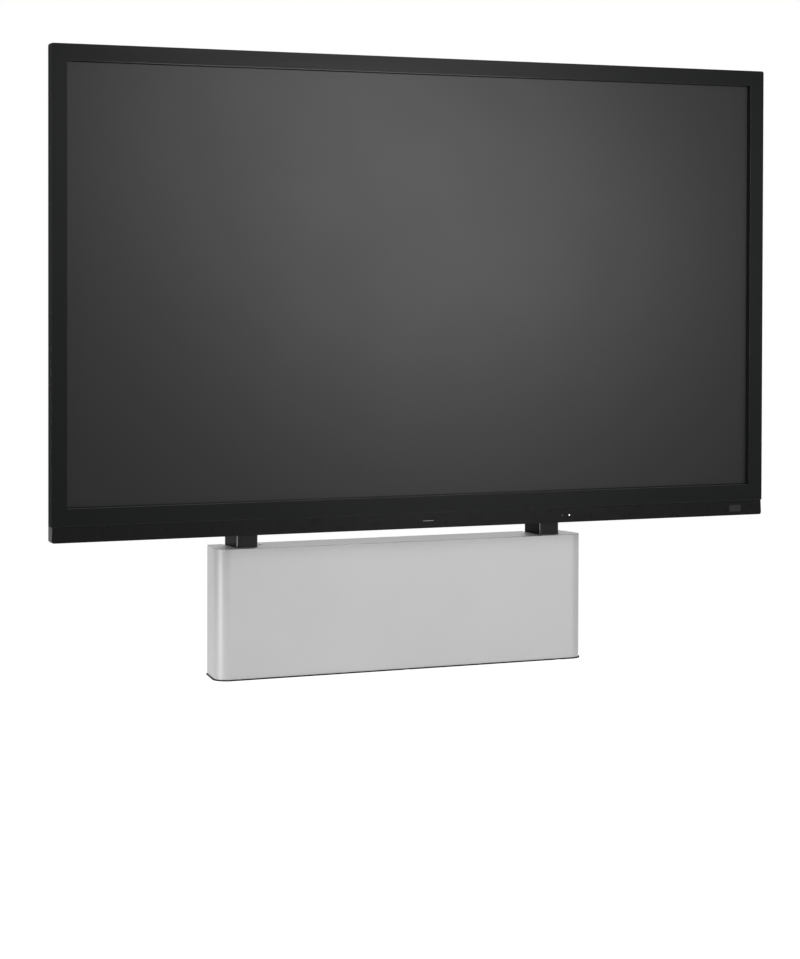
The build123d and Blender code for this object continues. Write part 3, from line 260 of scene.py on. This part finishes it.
def zinc_plated():
    """Electroplated steel: pale, slightly cloudy, with rolling lines."""
    made = Finish("zinc_steel", (0.60, 0.61, 0.63), 0.34, metallic=1.0)
    made.mottle(22, 0.10)
    spangle = made.cells(90)
    made.tint(made.remap(spangle.outputs["Distance"], 0.0, 0.9, 0.0, 0.25), (0.72, 0.73, 0.76))
    made.vary_roughness(50, 0.09)
    made.edges(0.0005, (0.78, 0.79, 0.80), 0.4)
    made.raise_by(made.noise(1.0, 2, made.stretched((10, 700, 700))), 0.000006)
    return made.done()


def sand_cast():
    """Die-cast aluminium with a fine pebbled skin."""
    made = Finish("cast_aluminium", (0.50, 0.51, 0.52), 0.48, metallic=1.0)
    made.mottle(30, 0.14)
    made.vary_roughness(80, 0.08)
    made.edges(0.0009, (0.70, 0.71, 0.72), 0.5)
    made.raise_by(made.noise(600, 4), 0.00005)
    made.raise_by(made.cells(500).outputs["Distance"], 0.00002)
    return made.done()


def turned(name, colour, roughness):
    """Ground or turned metal with fine cutting rings."""
    made = Finish(name, colour, roughness, metallic=1.0)
    made.mottle(40, 0.06)
    made.vary_roughness(200, 0.06)
    made.edges(0.0003, tuple(min(1, c * 1.25) for c in colour), 0.4)
    made.raise_by(made.noise(1.0, 2, made.stretched((300, 300, 2500))), 0.000005)
    return made.done()


def silver_coat():
    """Satin silver coat: a light grey base full of fine aluminium flakes."""
    made = Finish("silver_cover", (0.42, 0.42, 0.422), 0.44, metallic=0.2, specular=0.34)
    made.mottle(3, 0.03)
    flakes = made.cells(2600)
    made.tint(made.remap(flakes.outputs["Distance"], 0.0, 0.45, 0.35, 0.0), (0.62, 0.62, 0.63))
    made.vary_roughness(18, 0.03)
    made.edges(0.0006)
    made.raise_by(made.noise(260, 2), 0.000012)
    made.raise_by(made.noise(2400, 2), 0.000004)
    return made.done()


def anti_glare():
    """Etched front glass over a dark panel that is switched off."""
    made = Finish("screen_glass", (0.004, 0.0043, 0.0044), 0.37, specular=0.185)
    made.mottle(1.2, 0.05)
    made.vary_roughness(4, 0.015)
    made.raise_by(made.noise(5200, 1), 0.000002)
    return made.done()


def smoked():
    """Dark, glossy moulding that lets infrared light through."""
    made = Finish("smoked_plastic", (0.006, 0.006, 0.0065), 0.14, specular=0.30)
    made.mottle(20, 0.15)
    made.vary_roughness(90, 0.03)
    made.raise_by(made.noise(90, 2), 0.000004)
    return made.done()


def lens():
    """Clear light pipe, lit from behind."""
    made = Finish("light_lens", (0.85, 0.87, 0.90), 0.2)
    made.mottle(400, 0.04)
    made.vary_roughness(900, 0.04)
    return made.done()


def glowing():
    """Status light, lit."""
    made = Finish("led_lit", (0.9, 0.92, 0.95), 0.25)
    made.mottle(900, 0.03)
    made.shader.inputs["Emission Color"].default_value = (0.95, 0.97, 1.0, 1)
    made.shader.inputs["Emission Strength"].default_value = 0.9
    return made.done()


def dim_guide():
    """Light guide, off: grey diffusing plastic."""
    made = Finish("guide_dim", (0.17, 0.175, 0.18), 0.35)
    made.mottle(500, 0.05)
    made.vary_roughness(700, 0.05)
    return made.done()


FINISHES = {
    "black_steel": powder_coat(
        "black_steel", (0.010, 0.010, 0.0105), 0.40, specular=0.25, worn=(0.08, 0.08, 0.08)
    ),
    "zinc_steel": zinc_plated(),
    "cast_aluminium": sand_cast(),
    "bearing_steel": turned("bearing_steel", (0.58, 0.58, 0.59), 0.22),
    "motor_black": powder_coat("motor_black", (0.020, 0.020, 0.021), 0.34),
    "black_plastic": moulded("black_plastic", (0.016, 0.016, 0.017), 0.46),
    "white_plastic": moulded("white_plastic", (0.78, 0.78, 0.75), 0.38),
    "silver_cover": silver_coat(),
    "chrome_screw": turned("chrome_screw", (0.72, 0.72, 0.74), 0.16),
    # The corner and side levels give a painted highlight on rounded corners and painted shade on
    # the sides.
    "black_frame": anodised(
        "black_frame", (0.003, 0.0034, 0.0034), 0.36, "x", specular=0.075, corner_highlight=1.0, side=0.004
    ),
    "black_column": anodised(
        "black_column", (0.004, 0.0045, 0.0045), 0.26, "z", specular=0.20, corner_highlight=1.0, side=0.015
    ),
    "bar_plastic": moulded("bar_plastic", (0.0028, 0.003, 0.003), 0.30, specular=0.085),
    "inner_aluminium": anodised("inner_aluminium", (0.014, 0.014, 0.015), 0.30, "z"),
    "smoked_plastic": smoked(),
    "screen_glass": anti_glare(),
    "panel_body": moulded("panel_body", (0.03, 0.03, 0.03), 0.6),
    "light_lens": lens(),
    "rear_steel": powder_coat("rear_steel", (0.016, 0.016, 0.017), 0.5, grain=0.00004),
    "bronze_nut": turned("bronze_nut", (0.55, 0.36, 0.17), 0.28),
    # A darker, less glossy copy of black_steel for the base plate: painted shade.
    "base_black_shaded": powder_coat("base_black_shaded", (0.004, 0.004, 0.0042), 0.5, specular=0.04),
    "led_lit": glowing(),
    "guide_dim": dim_guide(),
}

for name, node in nodes.items():
    for slot in node.material_slots:
        slot.material = FINISHES[slot.material.name.split(".")[0]]


# Pieces


def shown(name, mesh, finish, body, replaced=()):
    """Links a finished mesh as a piece that rides on a body."""
    made = bpy.data.objects.new(name, mesh)
    scene.collection.objects.link(made)
    if not mesh.materials:
        mesh.materials.append(FINISHES[finish])
    mesh.shade_smooth()
    mesh.set_sharp_from_angle(angle=SHARP)
    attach(made, body)
    if replaced:
        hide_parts(*replaced)
    return made


def rolled_edges(made, width):
    """Real rounding on the edges of a piece."""
    bevel = made.modifiers.new("edge", "BEVEL")
    bevel.width = width
    bevel.segments = 2
    bevel.limit_method = "ANGLE"
    bevel.angle_limit = SHARP
    bevel.harden_normals = True
    bevel.use_clamp_overlap = True
    flat = made.modifiers.new("flat_faces", "WEIGHTED_NORMAL")
    flat.keep_sharp = True


def weigh_edges(work):
    """Marks every edge for rounding but those of the mitre joints, which close to a hairline."""
    layer = work.edges.layers.float.new("bevel_weight_edge")
    work.normal_update()
    for edge in work.edges:
        mitred = any(min(abs(f.normal.x), abs(f.normal.z)) > MITRE_SLANT for f in edge.link_faces)
        sharp = len(edge.link_faces) == 2 and edge.calc_face_angle() > SHARP
        edge[layer] = 1.0 if sharp and not mitred else 0.0


def finished(name, width, finish=None):
    """A copy of a CAD node with its flats joined and its edges really rounded."""
    node = nodes[name]
    mesh = node.data.copy()
    work = bmesh.new()
    work.from_mesh(mesh)
    bmesh.ops.remove_doubles(work, verts=work.verts, dist=JOINED)
    bmesh.ops.dissolve_limit(work, angle_limit=FLAT, verts=work.verts, edges=work.edges)
    if name.startswith("bezel"):
        weigh_edges(work)
    work.to_mesh(mesh)
    work.free()
    for layer in [a.name for a in mesh.attributes if a.name == "custom_normal"]:
        mesh.attributes.remove(mesh.attributes[layer])
    slots = [m["slot"] for m in frame["record"]["materials"]]
    slot_name = next(slot for slot in slots if FINISHES[slot] == node.data.materials[0])
    if finish:
        mesh.materials.clear()
    made = shown(name + "_finished", mesh, finish or slot_name, node["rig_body"], [name])
    rolled_edges(made, width)
    if name.startswith("bezel"):
        made.modifiers["edge"].limit_method = "WEIGHT"


def lathe(profile, segments=32):
    """A mesh turned round Z from (radius, height) points; radius 0 closes an end."""
    mesh = bpy.data.meshes.new("turned")
    work = bmesh.new()
    rings = []
    for radius, height in profile:
        if radius == 0:
            rings.append([work.verts.new((0, 0, height))])
            continue
        turns = [2 * pi * k / segments for k in range(segments)]
        rings.append([work.verts.new((radius * cos(t), radius * sin(t), height)) for t in turns])
    for low, high in zip(rings, rings[1:]):
        for k in range(segments):
            after = (k + 1) % segments
            if len(low) == 1:
                work.faces.new((low[0], high[after], high[k]))
            elif len(high) == 1:
                work.faces.new((low[k], low[after], high[0]))
            else:
                work.faces.new((low[k], low[after], high[after], high[k]))
    bmesh.ops.recalc_face_normals(work, faces=work.faces)
    work.to_mesh(mesh)
    work.free()
    return mesh


def merged(name, parts):
    """One mesh from (mesh, matrix) pairs."""
    mesh = bpy.data.meshes.new(name)
    work = bmesh.new()
    for part, matrix in parts:
        copy = part.copy()
        copy.transform(matrix)
        work.from_mesh(copy)
        bpy.data.meshes.remove(copy)
    work.to_mesh(mesh)
    work.free()
    return mesh


def brick(x0, x1, y0, y1, z0, z1, edge=0.0006):
    """A block with bevelled edges, as a mesh."""
    mesh = bpy.data.meshes.new("brick")
    work = bmesh.new()
    bmesh.ops.create_cube(work, size=1)
    for vert in work.verts:
        vert.co = Vector(
            (
                x0 if vert.co.x < 0 else x1,
                y0 if vert.co.y < 0 else y1,
                z0 if vert.co.z < 0 else z1,
            )
        )
    if edge:
        bmesh.ops.bevel(
            work, geom=work.edges[:], offset=edge, segments=2, profile=0.5, affect="EDGES"
        )
    work.to_mesh(mesh)
    work.free()
    return mesh


def facing(direction, place):
    """A matrix that puts local Z along a direction, at a place."""
    turn = Vector(direction).to_track_quat("Z", "Y").to_matrix().to_4x4()
    return Matrix.Translation(Vector(place)) @ turn


def pan_head(radius, height):
    """A pan head with a hexagon socket: a turned dome with a six-sided well."""
    dome = lathe(
        [
            (radius, 0),
            (radius, height * 0.35),
            (radius * 0.93, height * 0.7),
            (radius * 0.75, height * 0.95),
            (radius * 0.55, height),
            (radius * 0.5, height * 0.98),
        ],
        24,
    )
    socket = [(radius * 0.5, height * 0.98), (radius * 0.47, height * 0.4), (0, height * 0.3)]
    well = lathe(socket, 6)
    return merged("pan_head", [(dome, STILL), (well, STILL)])


def hex_bolt(across, height, washer, washer_t):
    """A hexagon head with a chamfered top on a flat washer."""
    radius = across / 2 / cos(pi / 6)
    flat = [(washer, 0), (washer, washer_t * 0.8), (washer * 0.96, washer_t), (0, washer_t)]
    ring = lathe(flat, 32)
    head = lathe(
        [
            (radius, washer_t),
            (radius, washer_t + height * 0.82),
            (radius * 0.86, washer_t + height),
            (0, washer_t + height),
        ],
        6,
    )
    return merged("hex_bolt", [(ring, STILL), (head, STILL)])


def fasteners(name, head, direction, places, finish, body):
    """Many equal heads in one piece."""
    parts = [(head, facing(direction, place)) for place in places]
    shown(name, merged(name, parts), finish, body)


WELD_R = 0.0016
WELD_SIDES = 8
RIPPLE = 0.0011


def weld(name, runs, body):
    """Fillet welds with the ripple that a torch leaves."""
    work = bmesh.new()
    for start, end in runs:
        start, end = Vector(start), Vector(end)
        along = (end - start).normalized()
        side = along.orthogonal().normalized()
        over = along.cross(side)
        steps = max(8, int((end - start).length / RIPPLE))
        turns = [2 * pi * n / WELD_SIDES for n in range(WELD_SIDES)]
        before = None
        for k in range(steps + 1):
            taper = min(1, 4 * k / steps + 0.3, 4 * (steps - k) / steps + 0.3)
            size = WELD_R * taper * (1 + 0.12 * (k % 2))
            centre = start.lerp(end, k / steps)
            ring = [work.verts.new(centre + size * (cos(t) * side + sin(t) * over)) for t in turns]
            if before:
                for n in range(WELD_SIDES):
                    after = (n + 1) % WELD_SIDES
                    work.faces.new((before[n], before[after], ring[after], ring[n]))
            else:
                work.faces.new(list(reversed(ring)))
            before = ring
        work.faces.new(before)
    mesh = bpy.data.meshes.new(name)
    work.to_mesh(mesh)
    work.free()
    shown(name, mesh, "black_steel", body)


GRILLE_T = 0.0008


def honeycomb(name, columns, rows, pitch, place, body):
    """A perforated speaker grille with real hexagonal holes, facing the wall."""
    work = bmesh.new()
    outer, hole = pitch / 2 / cos(pi / 6), pitch * 0.36
    for row in range(rows):
        for column in range(columns - row % 2):
            x = (column - (columns - 1) / 2 + (row % 2) / 2) * pitch
            z = (row - (rows - 1) / 2) * outer * 1.5
            turns = [pi / 6 + k * pi / 3 for k in range(6)]
            big = [work.verts.new((x + outer * cos(t), 0, z + outer * sin(t))) for t in turns]
            small = [work.verts.new((x + hole * cos(t), 0, z + hole * sin(t))) for t in turns]
            for k in range(6):
                after = (k + 1) % 6
                work.faces.new((big[k], big[after], small[after], small[k]))
    bmesh.ops.remove_doubles(work, verts=work.verts, dist=pitch * 0.02)
    bmesh.ops.recalc_face_normals(work, faces=work.faces)
    mesh = bpy.data.meshes.new(name)
    work.to_mesh(mesh)
    work.free()
    mesh.transform(Matrix.Translation(place))
    made = shown(name, mesh, "black_steel", body)
    thick = made.modifiers.new("sheet", "SOLIDIFY")
    thick.thickness = GRILLE_T


# Edges that are really rounded

ROUNDED = {
    "cover": 0.0003,
    "base_plate": 0.0002,
    "outer_column": 0.0004,
    "inner_column": 0.0004,
    "glide_collar": 0.0004,
    "carriage_arm": 0.0006,
    "crossbar": 0.0007,
    "mount_rail": 0.0006,
    "bezel": 0.0014,
    "lower_bar": 0.0003,
    "wall_plate": 0.0006,
    "wall_rail": 0.0006,
    "column_clamps": 0.0008,
    "gearbox_housing": 0.0009,
    "gearmotor_case": 0.0012,
    "control_box": 0.0006,
    "cover_brackets": 0.0004,
    "rear_cover": 0.0003,
    "electronics_cover": 0.0003,
    "screen_glass": 0.0003,
}
# The base plate takes the darker copy of black steel, as painted shade.
DRESSED = {"lower_bar": "bar_plastic", "base_plate": "base_black_shaded"}
for name in sorted(nodes):
    kind = max((k for k in ROUNDED if name.startswith(k)), key=len, default=None)
    if kind:
        finished(name, ROUNDED[kind], DRESSED.get(name))


# Lights on the lower bar

BAR_FRONT_Y = -0.230
BAR_MIDDLE_Z = -0.13335
LIGHT_DEPTH = 0.003
GUIDE_HALF_W = 0.013
GUIDE_HALF_H = 0.0007
STATUS_X, STATUS_R = 0.353, 0.0018
DOT_X, DOT_R = 0.3355, 0.0011


def lens_at(name, x, radius, finish):
    """A domed lens set in its hole."""
    depth = radius * 0.25
    dome = [(1, -0.5), (0.8, 0.2), (0.4, 0.5), (0, 0.6)]
    profile = [(radius, -LIGHT_DEPTH)] + [(radius * out, depth * up) for out, up in dome]
    mesh = lathe(profile, 24)
    mesh.transform(facing((0, -1, 0), (x, BAR_FRONT_Y + depth * 0.6, BAR_MIDDLE_Z)))
    shown(name, mesh, finish, "carriage", ["status_lights"])


lens_at("status_light", STATUS_X, STATUS_R, "led_lit")
lens_at("status_light_small", DOT_X, DOT_R, "guide_dim")
guide = brick(
    -GUIDE_HALF_W,
    GUIDE_HALF_W,
    BAR_FRONT_Y,
    BAR_FRONT_Y + LIGHT_DEPTH,
    BAR_MIDDLE_Z - GUIDE_HALF_H,
    BAR_MIDDLE_Z + GUIDE_HALF_H,
    0.0003,
)
shown("light_guide", guide, "guide_dim", "carriage", ["status_lights"])


# Fasteners

TRAY_BACK_Y = -0.165
BOX_BACK_Y = -0.150
MIDDLE_Z = 0.37165

SMALL_PAN = pan_head(radius=0.0034, height=0.0018)
RIM_X, RIM_BETWEEN_X = 0.78, 0.39
RIM_ENDS_Z, RIM_SIDES_Z = (-0.082, 0.825), (0.14, MIDDLE_Z, 0.60)
rim_x = (-RIM_X, -RIM_BETWEEN_X, 0, RIM_BETWEEN_X, RIM_X)
rim = [(x, TRAY_BACK_Y, z) for x in rim_x for z in RIM_ENDS_Z]
rim += [(x, TRAY_BACK_Y, z) for x in (-RIM_X, RIM_X) for z in RIM_SIDES_Z]
fasteners("rear_cover_screws", SMALL_PAN, (0, 1, 0), rim, "motor_black", "carriage")
LID_X, LID_BETWEEN_X, LID_Z = 0.415, 0.14, 0.252
lid_x = (-LID_X, -LID_BETWEEN_X, LID_BETWEEN_X, LID_X)
lid = [(x, BOX_BACK_Y, MIDDLE_Z + z) for x in lid_x for z in (-LID_Z, LID_Z)]
lid += [(x, BOX_BACK_Y, MIDDLE_Z) for x in (-LID_X, LID_X)]
fasteners("electronics_cover_screws", SMALL_PAN, (0, 1, 0), lid, "motor_black", "carriage")

M8 = hex_bolt(across=0.013, height=0.0053, washer=0.010, washer_t=0.0016)
CROSSBAR_FRONT_Y = -0.120
BOLTS_X = (0.356, 0.392)
CROSSBARS_Z = (0.51965, 0.16565)
bars = [(s * x, CROSSBAR_FRONT_Y, z) for s in (-1, 1) for x in BOLTS_X for z in CROSSBARS_Z]
fasteners("crossbar_bolts", M8, (0, -1, 0), bars, "zinc_steel", "carriage")

M5 = hex_bolt(across=0.008, height=0.0035, washer=0.0075, washer_t=0.001)
RAIL_X = 0.300
RAIL_HALF_W = 0.020
LOCK_Y = -0.135
LOCKS_Z = (0.560, 0.205)
for turn, way in ((-1, "in"), (1, "out")):
    for s, word in ((-1, "left"), (1, "right")):
        x = s * RAIL_X + turn * s * RAIL_HALF_W
        here = [(x, LOCK_Y, z) for z in LOCKS_Z]
        name = f"rail_lock_screws_{way}_{word}"
        fasteners(name, M5, (turn * s, 0, 0), here, "zinc_steel", "carriage")


# Welds on the arms

COLUMN_X = 0.375
ARM_HALF_W = 0.030
ARM_T = 0.003
WELD_INSET = 0.0006
LOW_WELD_Y, LOW_WELD_Z = (-0.0905, -0.016), 0.3355
UPRIGHT_WELD_Y, UPRIGHT_WELD_Z = -0.0915, (0.339, 0.420)
runs = []
for s in (-1, 1):
    for edge in (-1, 1):
        x = s * COLUMN_X + edge * (ARM_HALF_W - ARM_T - WELD_INSET)
        runs.append([(x, y, LOW_WELD_Z) for y in LOW_WELD_Y])
        runs.append([(x, UPRIGHT_WELD_Y, z) for z in UPRIGHT_WELD_Z])
weld("arm_welds", runs, "carriage")


# Handles, sockets and grilles on the back of the display

HANDLE_HALF = 0.062
HANDLE_RISE = 0.026
HANDLE_R = 0.0055
HANDLE_X, HANDLE_Z = 0.615, 0.700
HANDLE_FOOT = ((0.011, 0), (0.011, 0.0025), (0.0095, 0.0038), (0, 0.0042))
GRILLE_COLUMNS, GRILLE_ROWS = 34, 8
GRILLE_PITCH = 0.0058
GRILLE_X, GRILLE_Y, GRILLE_Z = 0.60, TRAY_BACK_Y + 0.0009, -0.030
POD_X = (0.500, 0.700)
POD_BOTTOM_Z, POD_TOP_Z = 0.165, 0.245
POD_EDGE = 0.003
SOCKET_WIDTHS = (0.015, 0.015, 0.013, 0.013, 0.016, 0.010, 0.010, 0.031)
SOCKET_INSET = 0.012
SOCKET_SPACE = 0.0065
SOCKET_RIM = 0.0009
LOW_SOCKETS = 4
LOW_SOCKET_H, HIGH_SOCKET_H = 0.0052, 0.0095
ROUND_SOCKETS = (5, 6)
ROUND_SOCKET = (
    (0.0032, 0),
    (0.0046, 0),
    (0.0046, 0.0012),
    (0.0036, 0.0014),
    (0.0030, 0.0003),
    (0, 0.0002),
)


def handle(name, x, z):
    """A moulded carrying handle on two feet."""
    half, rise = HANDLE_HALF, HANDLE_RISE
    left = [(-half, 0), (-half, rise * 0.6), (-half * 0.86, rise)]
    path = left + [(-along, out) for along, out in reversed(left)]
    curve = bpy.data.curves.new(name, "CURVE")
    curve.dimensions = "3D"
    curve.bevel_depth = HANDLE_R
    curve.bevel_resolution = 5
    spline = curve.splines.new("BEZIER")
    spline.bezier_points.add(len(path) - 1)
    for point, (along, out) in zip(spline.bezier_points, path):
        point.co = (x + along, TRAY_BACK_Y + out - 0.001, z)
        point.handle_left_type = point.handle_right_type = "AUTO"
    source = bpy.data.objects.new(name + "_curve", curve)
    mesh = bpy.data.meshes.new_from_object(source)
    bpy.data.objects.remove(source)
    foot = lathe(HANDLE_FOOT, 32)
    feet = [(foot, facing((0, 1, 0), (x + s * half, TRAY_BACK_Y, z))) for s in (-1, 1)]
    shown(name, merged(name, [(mesh, STILL), *feet]), "black_plastic", "carriage")


for s, word in ((-1, "left"), (1, "right")):
    handle(f"handle_{word}", s * HANDLE_X, HANDLE_Z)
    place = (s * GRILLE_X, GRILLE_Y, GRILLE_Z)
    grille = f"speaker_grille_{word}"
    honeycomb(grille, GRILLE_COLUMNS, GRILLE_ROWS, GRILLE_PITCH, place, "carriage")


def socket_pod():
    """Raised housing whose lower face carries the sockets, beside the electronics cover."""
    (x0, x1), z0 = POD_X, POD_BOTTOM_Z
    body = brick(x0, x1, TRAY_BACK_Y, BOX_BACK_Y, z0, POD_TOP_Z, POD_EDGE)
    shown("socket_pod", merged("socket_pod", [(body, STILL)]), "black_plastic", "carriage")
    rims, dark, metal = [], [], []
    x = x0 + SOCKET_INSET
    y = (TRAY_BACK_Y + BOX_BACK_Y) / 2
    for index, width in enumerate(SOCKET_WIDTHS):
        half = (LOW_SOCKET_H if index < LOW_SOCKETS else HIGH_SOCKET_H) / 2
        if index in ROUND_SOCKETS:
            ring = lathe(ROUND_SOCKET, 24)
            metal.append((ring, facing((0, 0, -1), (x + width / 2, y, z0 + 0.0004))))
        else:
            rim = brick(x, x + width, y - half, y + half, z0 - 0.0012, z0 + 0.001, 0.0003)
            rims.append((rim, STILL))
            near, far = x + SOCKET_RIM, x + width - SOCKET_RIM
            throat_half = half - SOCKET_RIM
            throat = brick(near, far, y - throat_half, y + throat_half, z0 - 0.0014, z0, 0.0001)
            dark.append((throat, STILL))
        x += width + SOCKET_SPACE
    shown("socket_rims", merged("socket_rims", rims), "zinc_steel", "carriage")
    shown("socket_throats", merged("socket_throats", dark), "black_plastic", "carriage")
    shown("audio_sockets", merged("audio_sockets", metal), "chrome_screw", "carriage")


socket_pod()


# White arrows in the buttons

ARROW_R = 0.0036
ARROW_T = 0.0004
ARROW_Y = -0.076
ARROW_Z = -0.48445 + 0.00055
for word, x, way in (("up", 0.314, -1), ("down", 0.286, 1)):
    arrow = lathe([(ARROW_R, 0), (ARROW_R, ARROW_T), (0, ARROW_T)], 3)
    turned_down = Matrix.Rotation(pi, 4, "X") @ Matrix.Rotation(radians(way * 90), 4, "Z")
    arrow.transform(Matrix.Translation((x, ARROW_Y, ARROW_Z)) @ turned_down)
    shown(f"button_{word}_arrow", arrow, "white_plastic", f"button_{word}")


# Floor, background and light


def floor():
    """Pale floor far below the wall unit; the camera sees it white, with the shadow kept."""
    mesh = bpy.data.meshes.new("floor")
    half = FLOOR_HALF
    outline = ((-half, -half), (half, -half), (half, half), (-half, half))
    mesh.from_pydata([(x, y, FLOOR_Z) for x, y in outline], [], [(0, 1, 2, 3)])
    plane = bpy.data.objects.new("floor", mesh)
    scene.collection.objects.link(plane)
    material = bpy.data.materials.new("floor_pale")
    material.use_nodes = True
    tree = material.node_tree
    matte = tree.nodes["Principled BSDF"]
    matte.inputs["Base Color"].default_value = (0.8, 0.8, 0.8, 1)
    matte.inputs["Roughness"].default_value = 0.9
    matte.inputs["Specular IOR Level"].default_value = 0.0
    glow = tree.nodes.new("ShaderNodeEmission")
    glow.inputs["Color"].default_value = (1, 1, 1, 1)
    glow.inputs["Strength"].default_value = FLOOR_GLOW
    both = tree.nodes.new("ShaderNodeAddShader")
    pick = tree.nodes.new("ShaderNodeMixShader")
    tree.links.new(matte.outputs["BSDF"], both.inputs[0])
    tree.links.new(glow.outputs["Emission"], both.inputs[1])
    tree.links.new(seen_directly(tree), pick.inputs["Fac"])
    tree.links.new(matte.outputs["BSDF"], pick.inputs[1])
    tree.links.new(both.outputs["Shader"], pick.inputs[2])
    below = tree.nodes.new("ShaderNodeMixShader")
    clear = tree.nodes.new("ShaderNodeBsdfTransparent")
    side = tree.nodes.new("ShaderNodeNewGeometry")
    tree.links.new(side.outputs["Backfacing"], below.inputs["Fac"])
    tree.links.new(pick.outputs["Shader"], below.inputs[1])
    tree.links.new(clear.outputs["BSDF"], below.inputs[2])
    tree.links.new(below.outputs["Shader"], tree.nodes["Material Output"].inputs["Surface"])
    mesh.materials.append(material)


def seen_directly(tree):
    """1 for rays from the camera, a mirror or glass."""
    path = tree.nodes.new("ShaderNodeLightPath")
    first = tree.nodes.new("ShaderNodeMath")
    first.operation = "MAXIMUM"
    second = tree.nodes.new("ShaderNodeMath")
    second.operation = "MAXIMUM"
    tree.links.new(path.outputs["Is Camera Ray"], first.inputs[0])
    tree.links.new(path.outputs["Is Glossy Ray"], first.inputs[1])
    tree.links.new(first.outputs["Value"], second.inputs[0])
    tree.links.new(path.outputs["Is Transmission Ray"], second.inputs[1])
    return second.outputs["Value"]


def world():
    """White background, and a softer even light on the object."""
    made = bpy.data.worlds.new("studio")
    scene.world = made
    made.use_nodes = True
    tree = made.node_tree
    sky = tree.nodes["Background"]
    sky.inputs["Color"].default_value = (1, 1, 1, 1)
    level = tree.nodes.new("ShaderNodeMapRange")
    level.inputs["To Min"].default_value = WORLD_LIGHT
    level.inputs["To Max"].default_value = 1.0
    tree.links.new(seen_directly(tree), level.inputs["Value"])
    tree.links.new(level.outputs["Result"], sky.inputs["Strength"])


def lamp(name, place, target, width, height, power, lean):
    """A soft box aimed at a point, leaning by some degrees, not seen by the camera."""
    data = bpy.data.lights.new(name, "AREA")
    data.shape = "RECTANGLE"
    data.size, data.size_y = width, height
    data.energy = power
    made = bpy.data.objects.new(name, data)
    made.location = place
    aim = (Vector(target) - Vector(place)).to_track_quat("-Z", "Y")
    made.rotation_euler = (aim @ Quaternion((0, 0, 1), radians(lean))).to_euler()
    made.visible_camera = False
    scene.collection.objects.link(made)


def camera():
    """The photograph's camera."""
    ahead = cos(CAMERA_PITCH)
    forward = Vector((sin(CAMERA_YAW) * ahead, cos(CAMERA_YAW) * ahead, -sin(CAMERA_PITCH)))
    level = Vector((cos(CAMERA_YAW), -sin(CAMERA_YAW), 0))
    raised = level.cross(forward)
    right = level * cos(CAMERA_ROLL) + raised * sin(CAMERA_ROLL)
    up = raised * cos(CAMERA_ROLL) - level * sin(CAMERA_ROLL)
    data = bpy.data.cameras.new("camera")
    data.sensor_width = SENSOR
    data.lens = CAMERA_LENS
    data.shift_y = CAMERA_SHIFT_Y
    data.clip_end = 60
    made = bpy.data.objects.new("camera", data)
    turn = Matrix((right, up, -forward)).transposed().to_4x4()
    made.matrix_world = Matrix.Translation(CAMERA_PLACE) @ turn
    scene.collection.objects.link(made)
    scene.camera = made


# Name, place, target, width, height, watts, lean in degrees
LAMPS = (
    ("strip", (1.12, -3.0, 0.78), (0.0, -0.2, 0.54), 1.08, 1.7, 74, 37),
    ("left", (-3.2, -0.8, 0.4), (-0.3, -0.1, 0), 0.95, 2.0, 80, 0),
    ("overhead", (0.0, -1.5, 3.1), (0, -0.1, -0.2), 2.0, 1.0, 8, 0),
    ("back", (1.5, 3.0, 3.6), (0, 0, 0.2), 1.6, 1.4, 60, 0),
)

camera()
world()
floor()
for row in LAMPS:
    lamp(*row)
scene.view_settings.view_transform = "Standard"
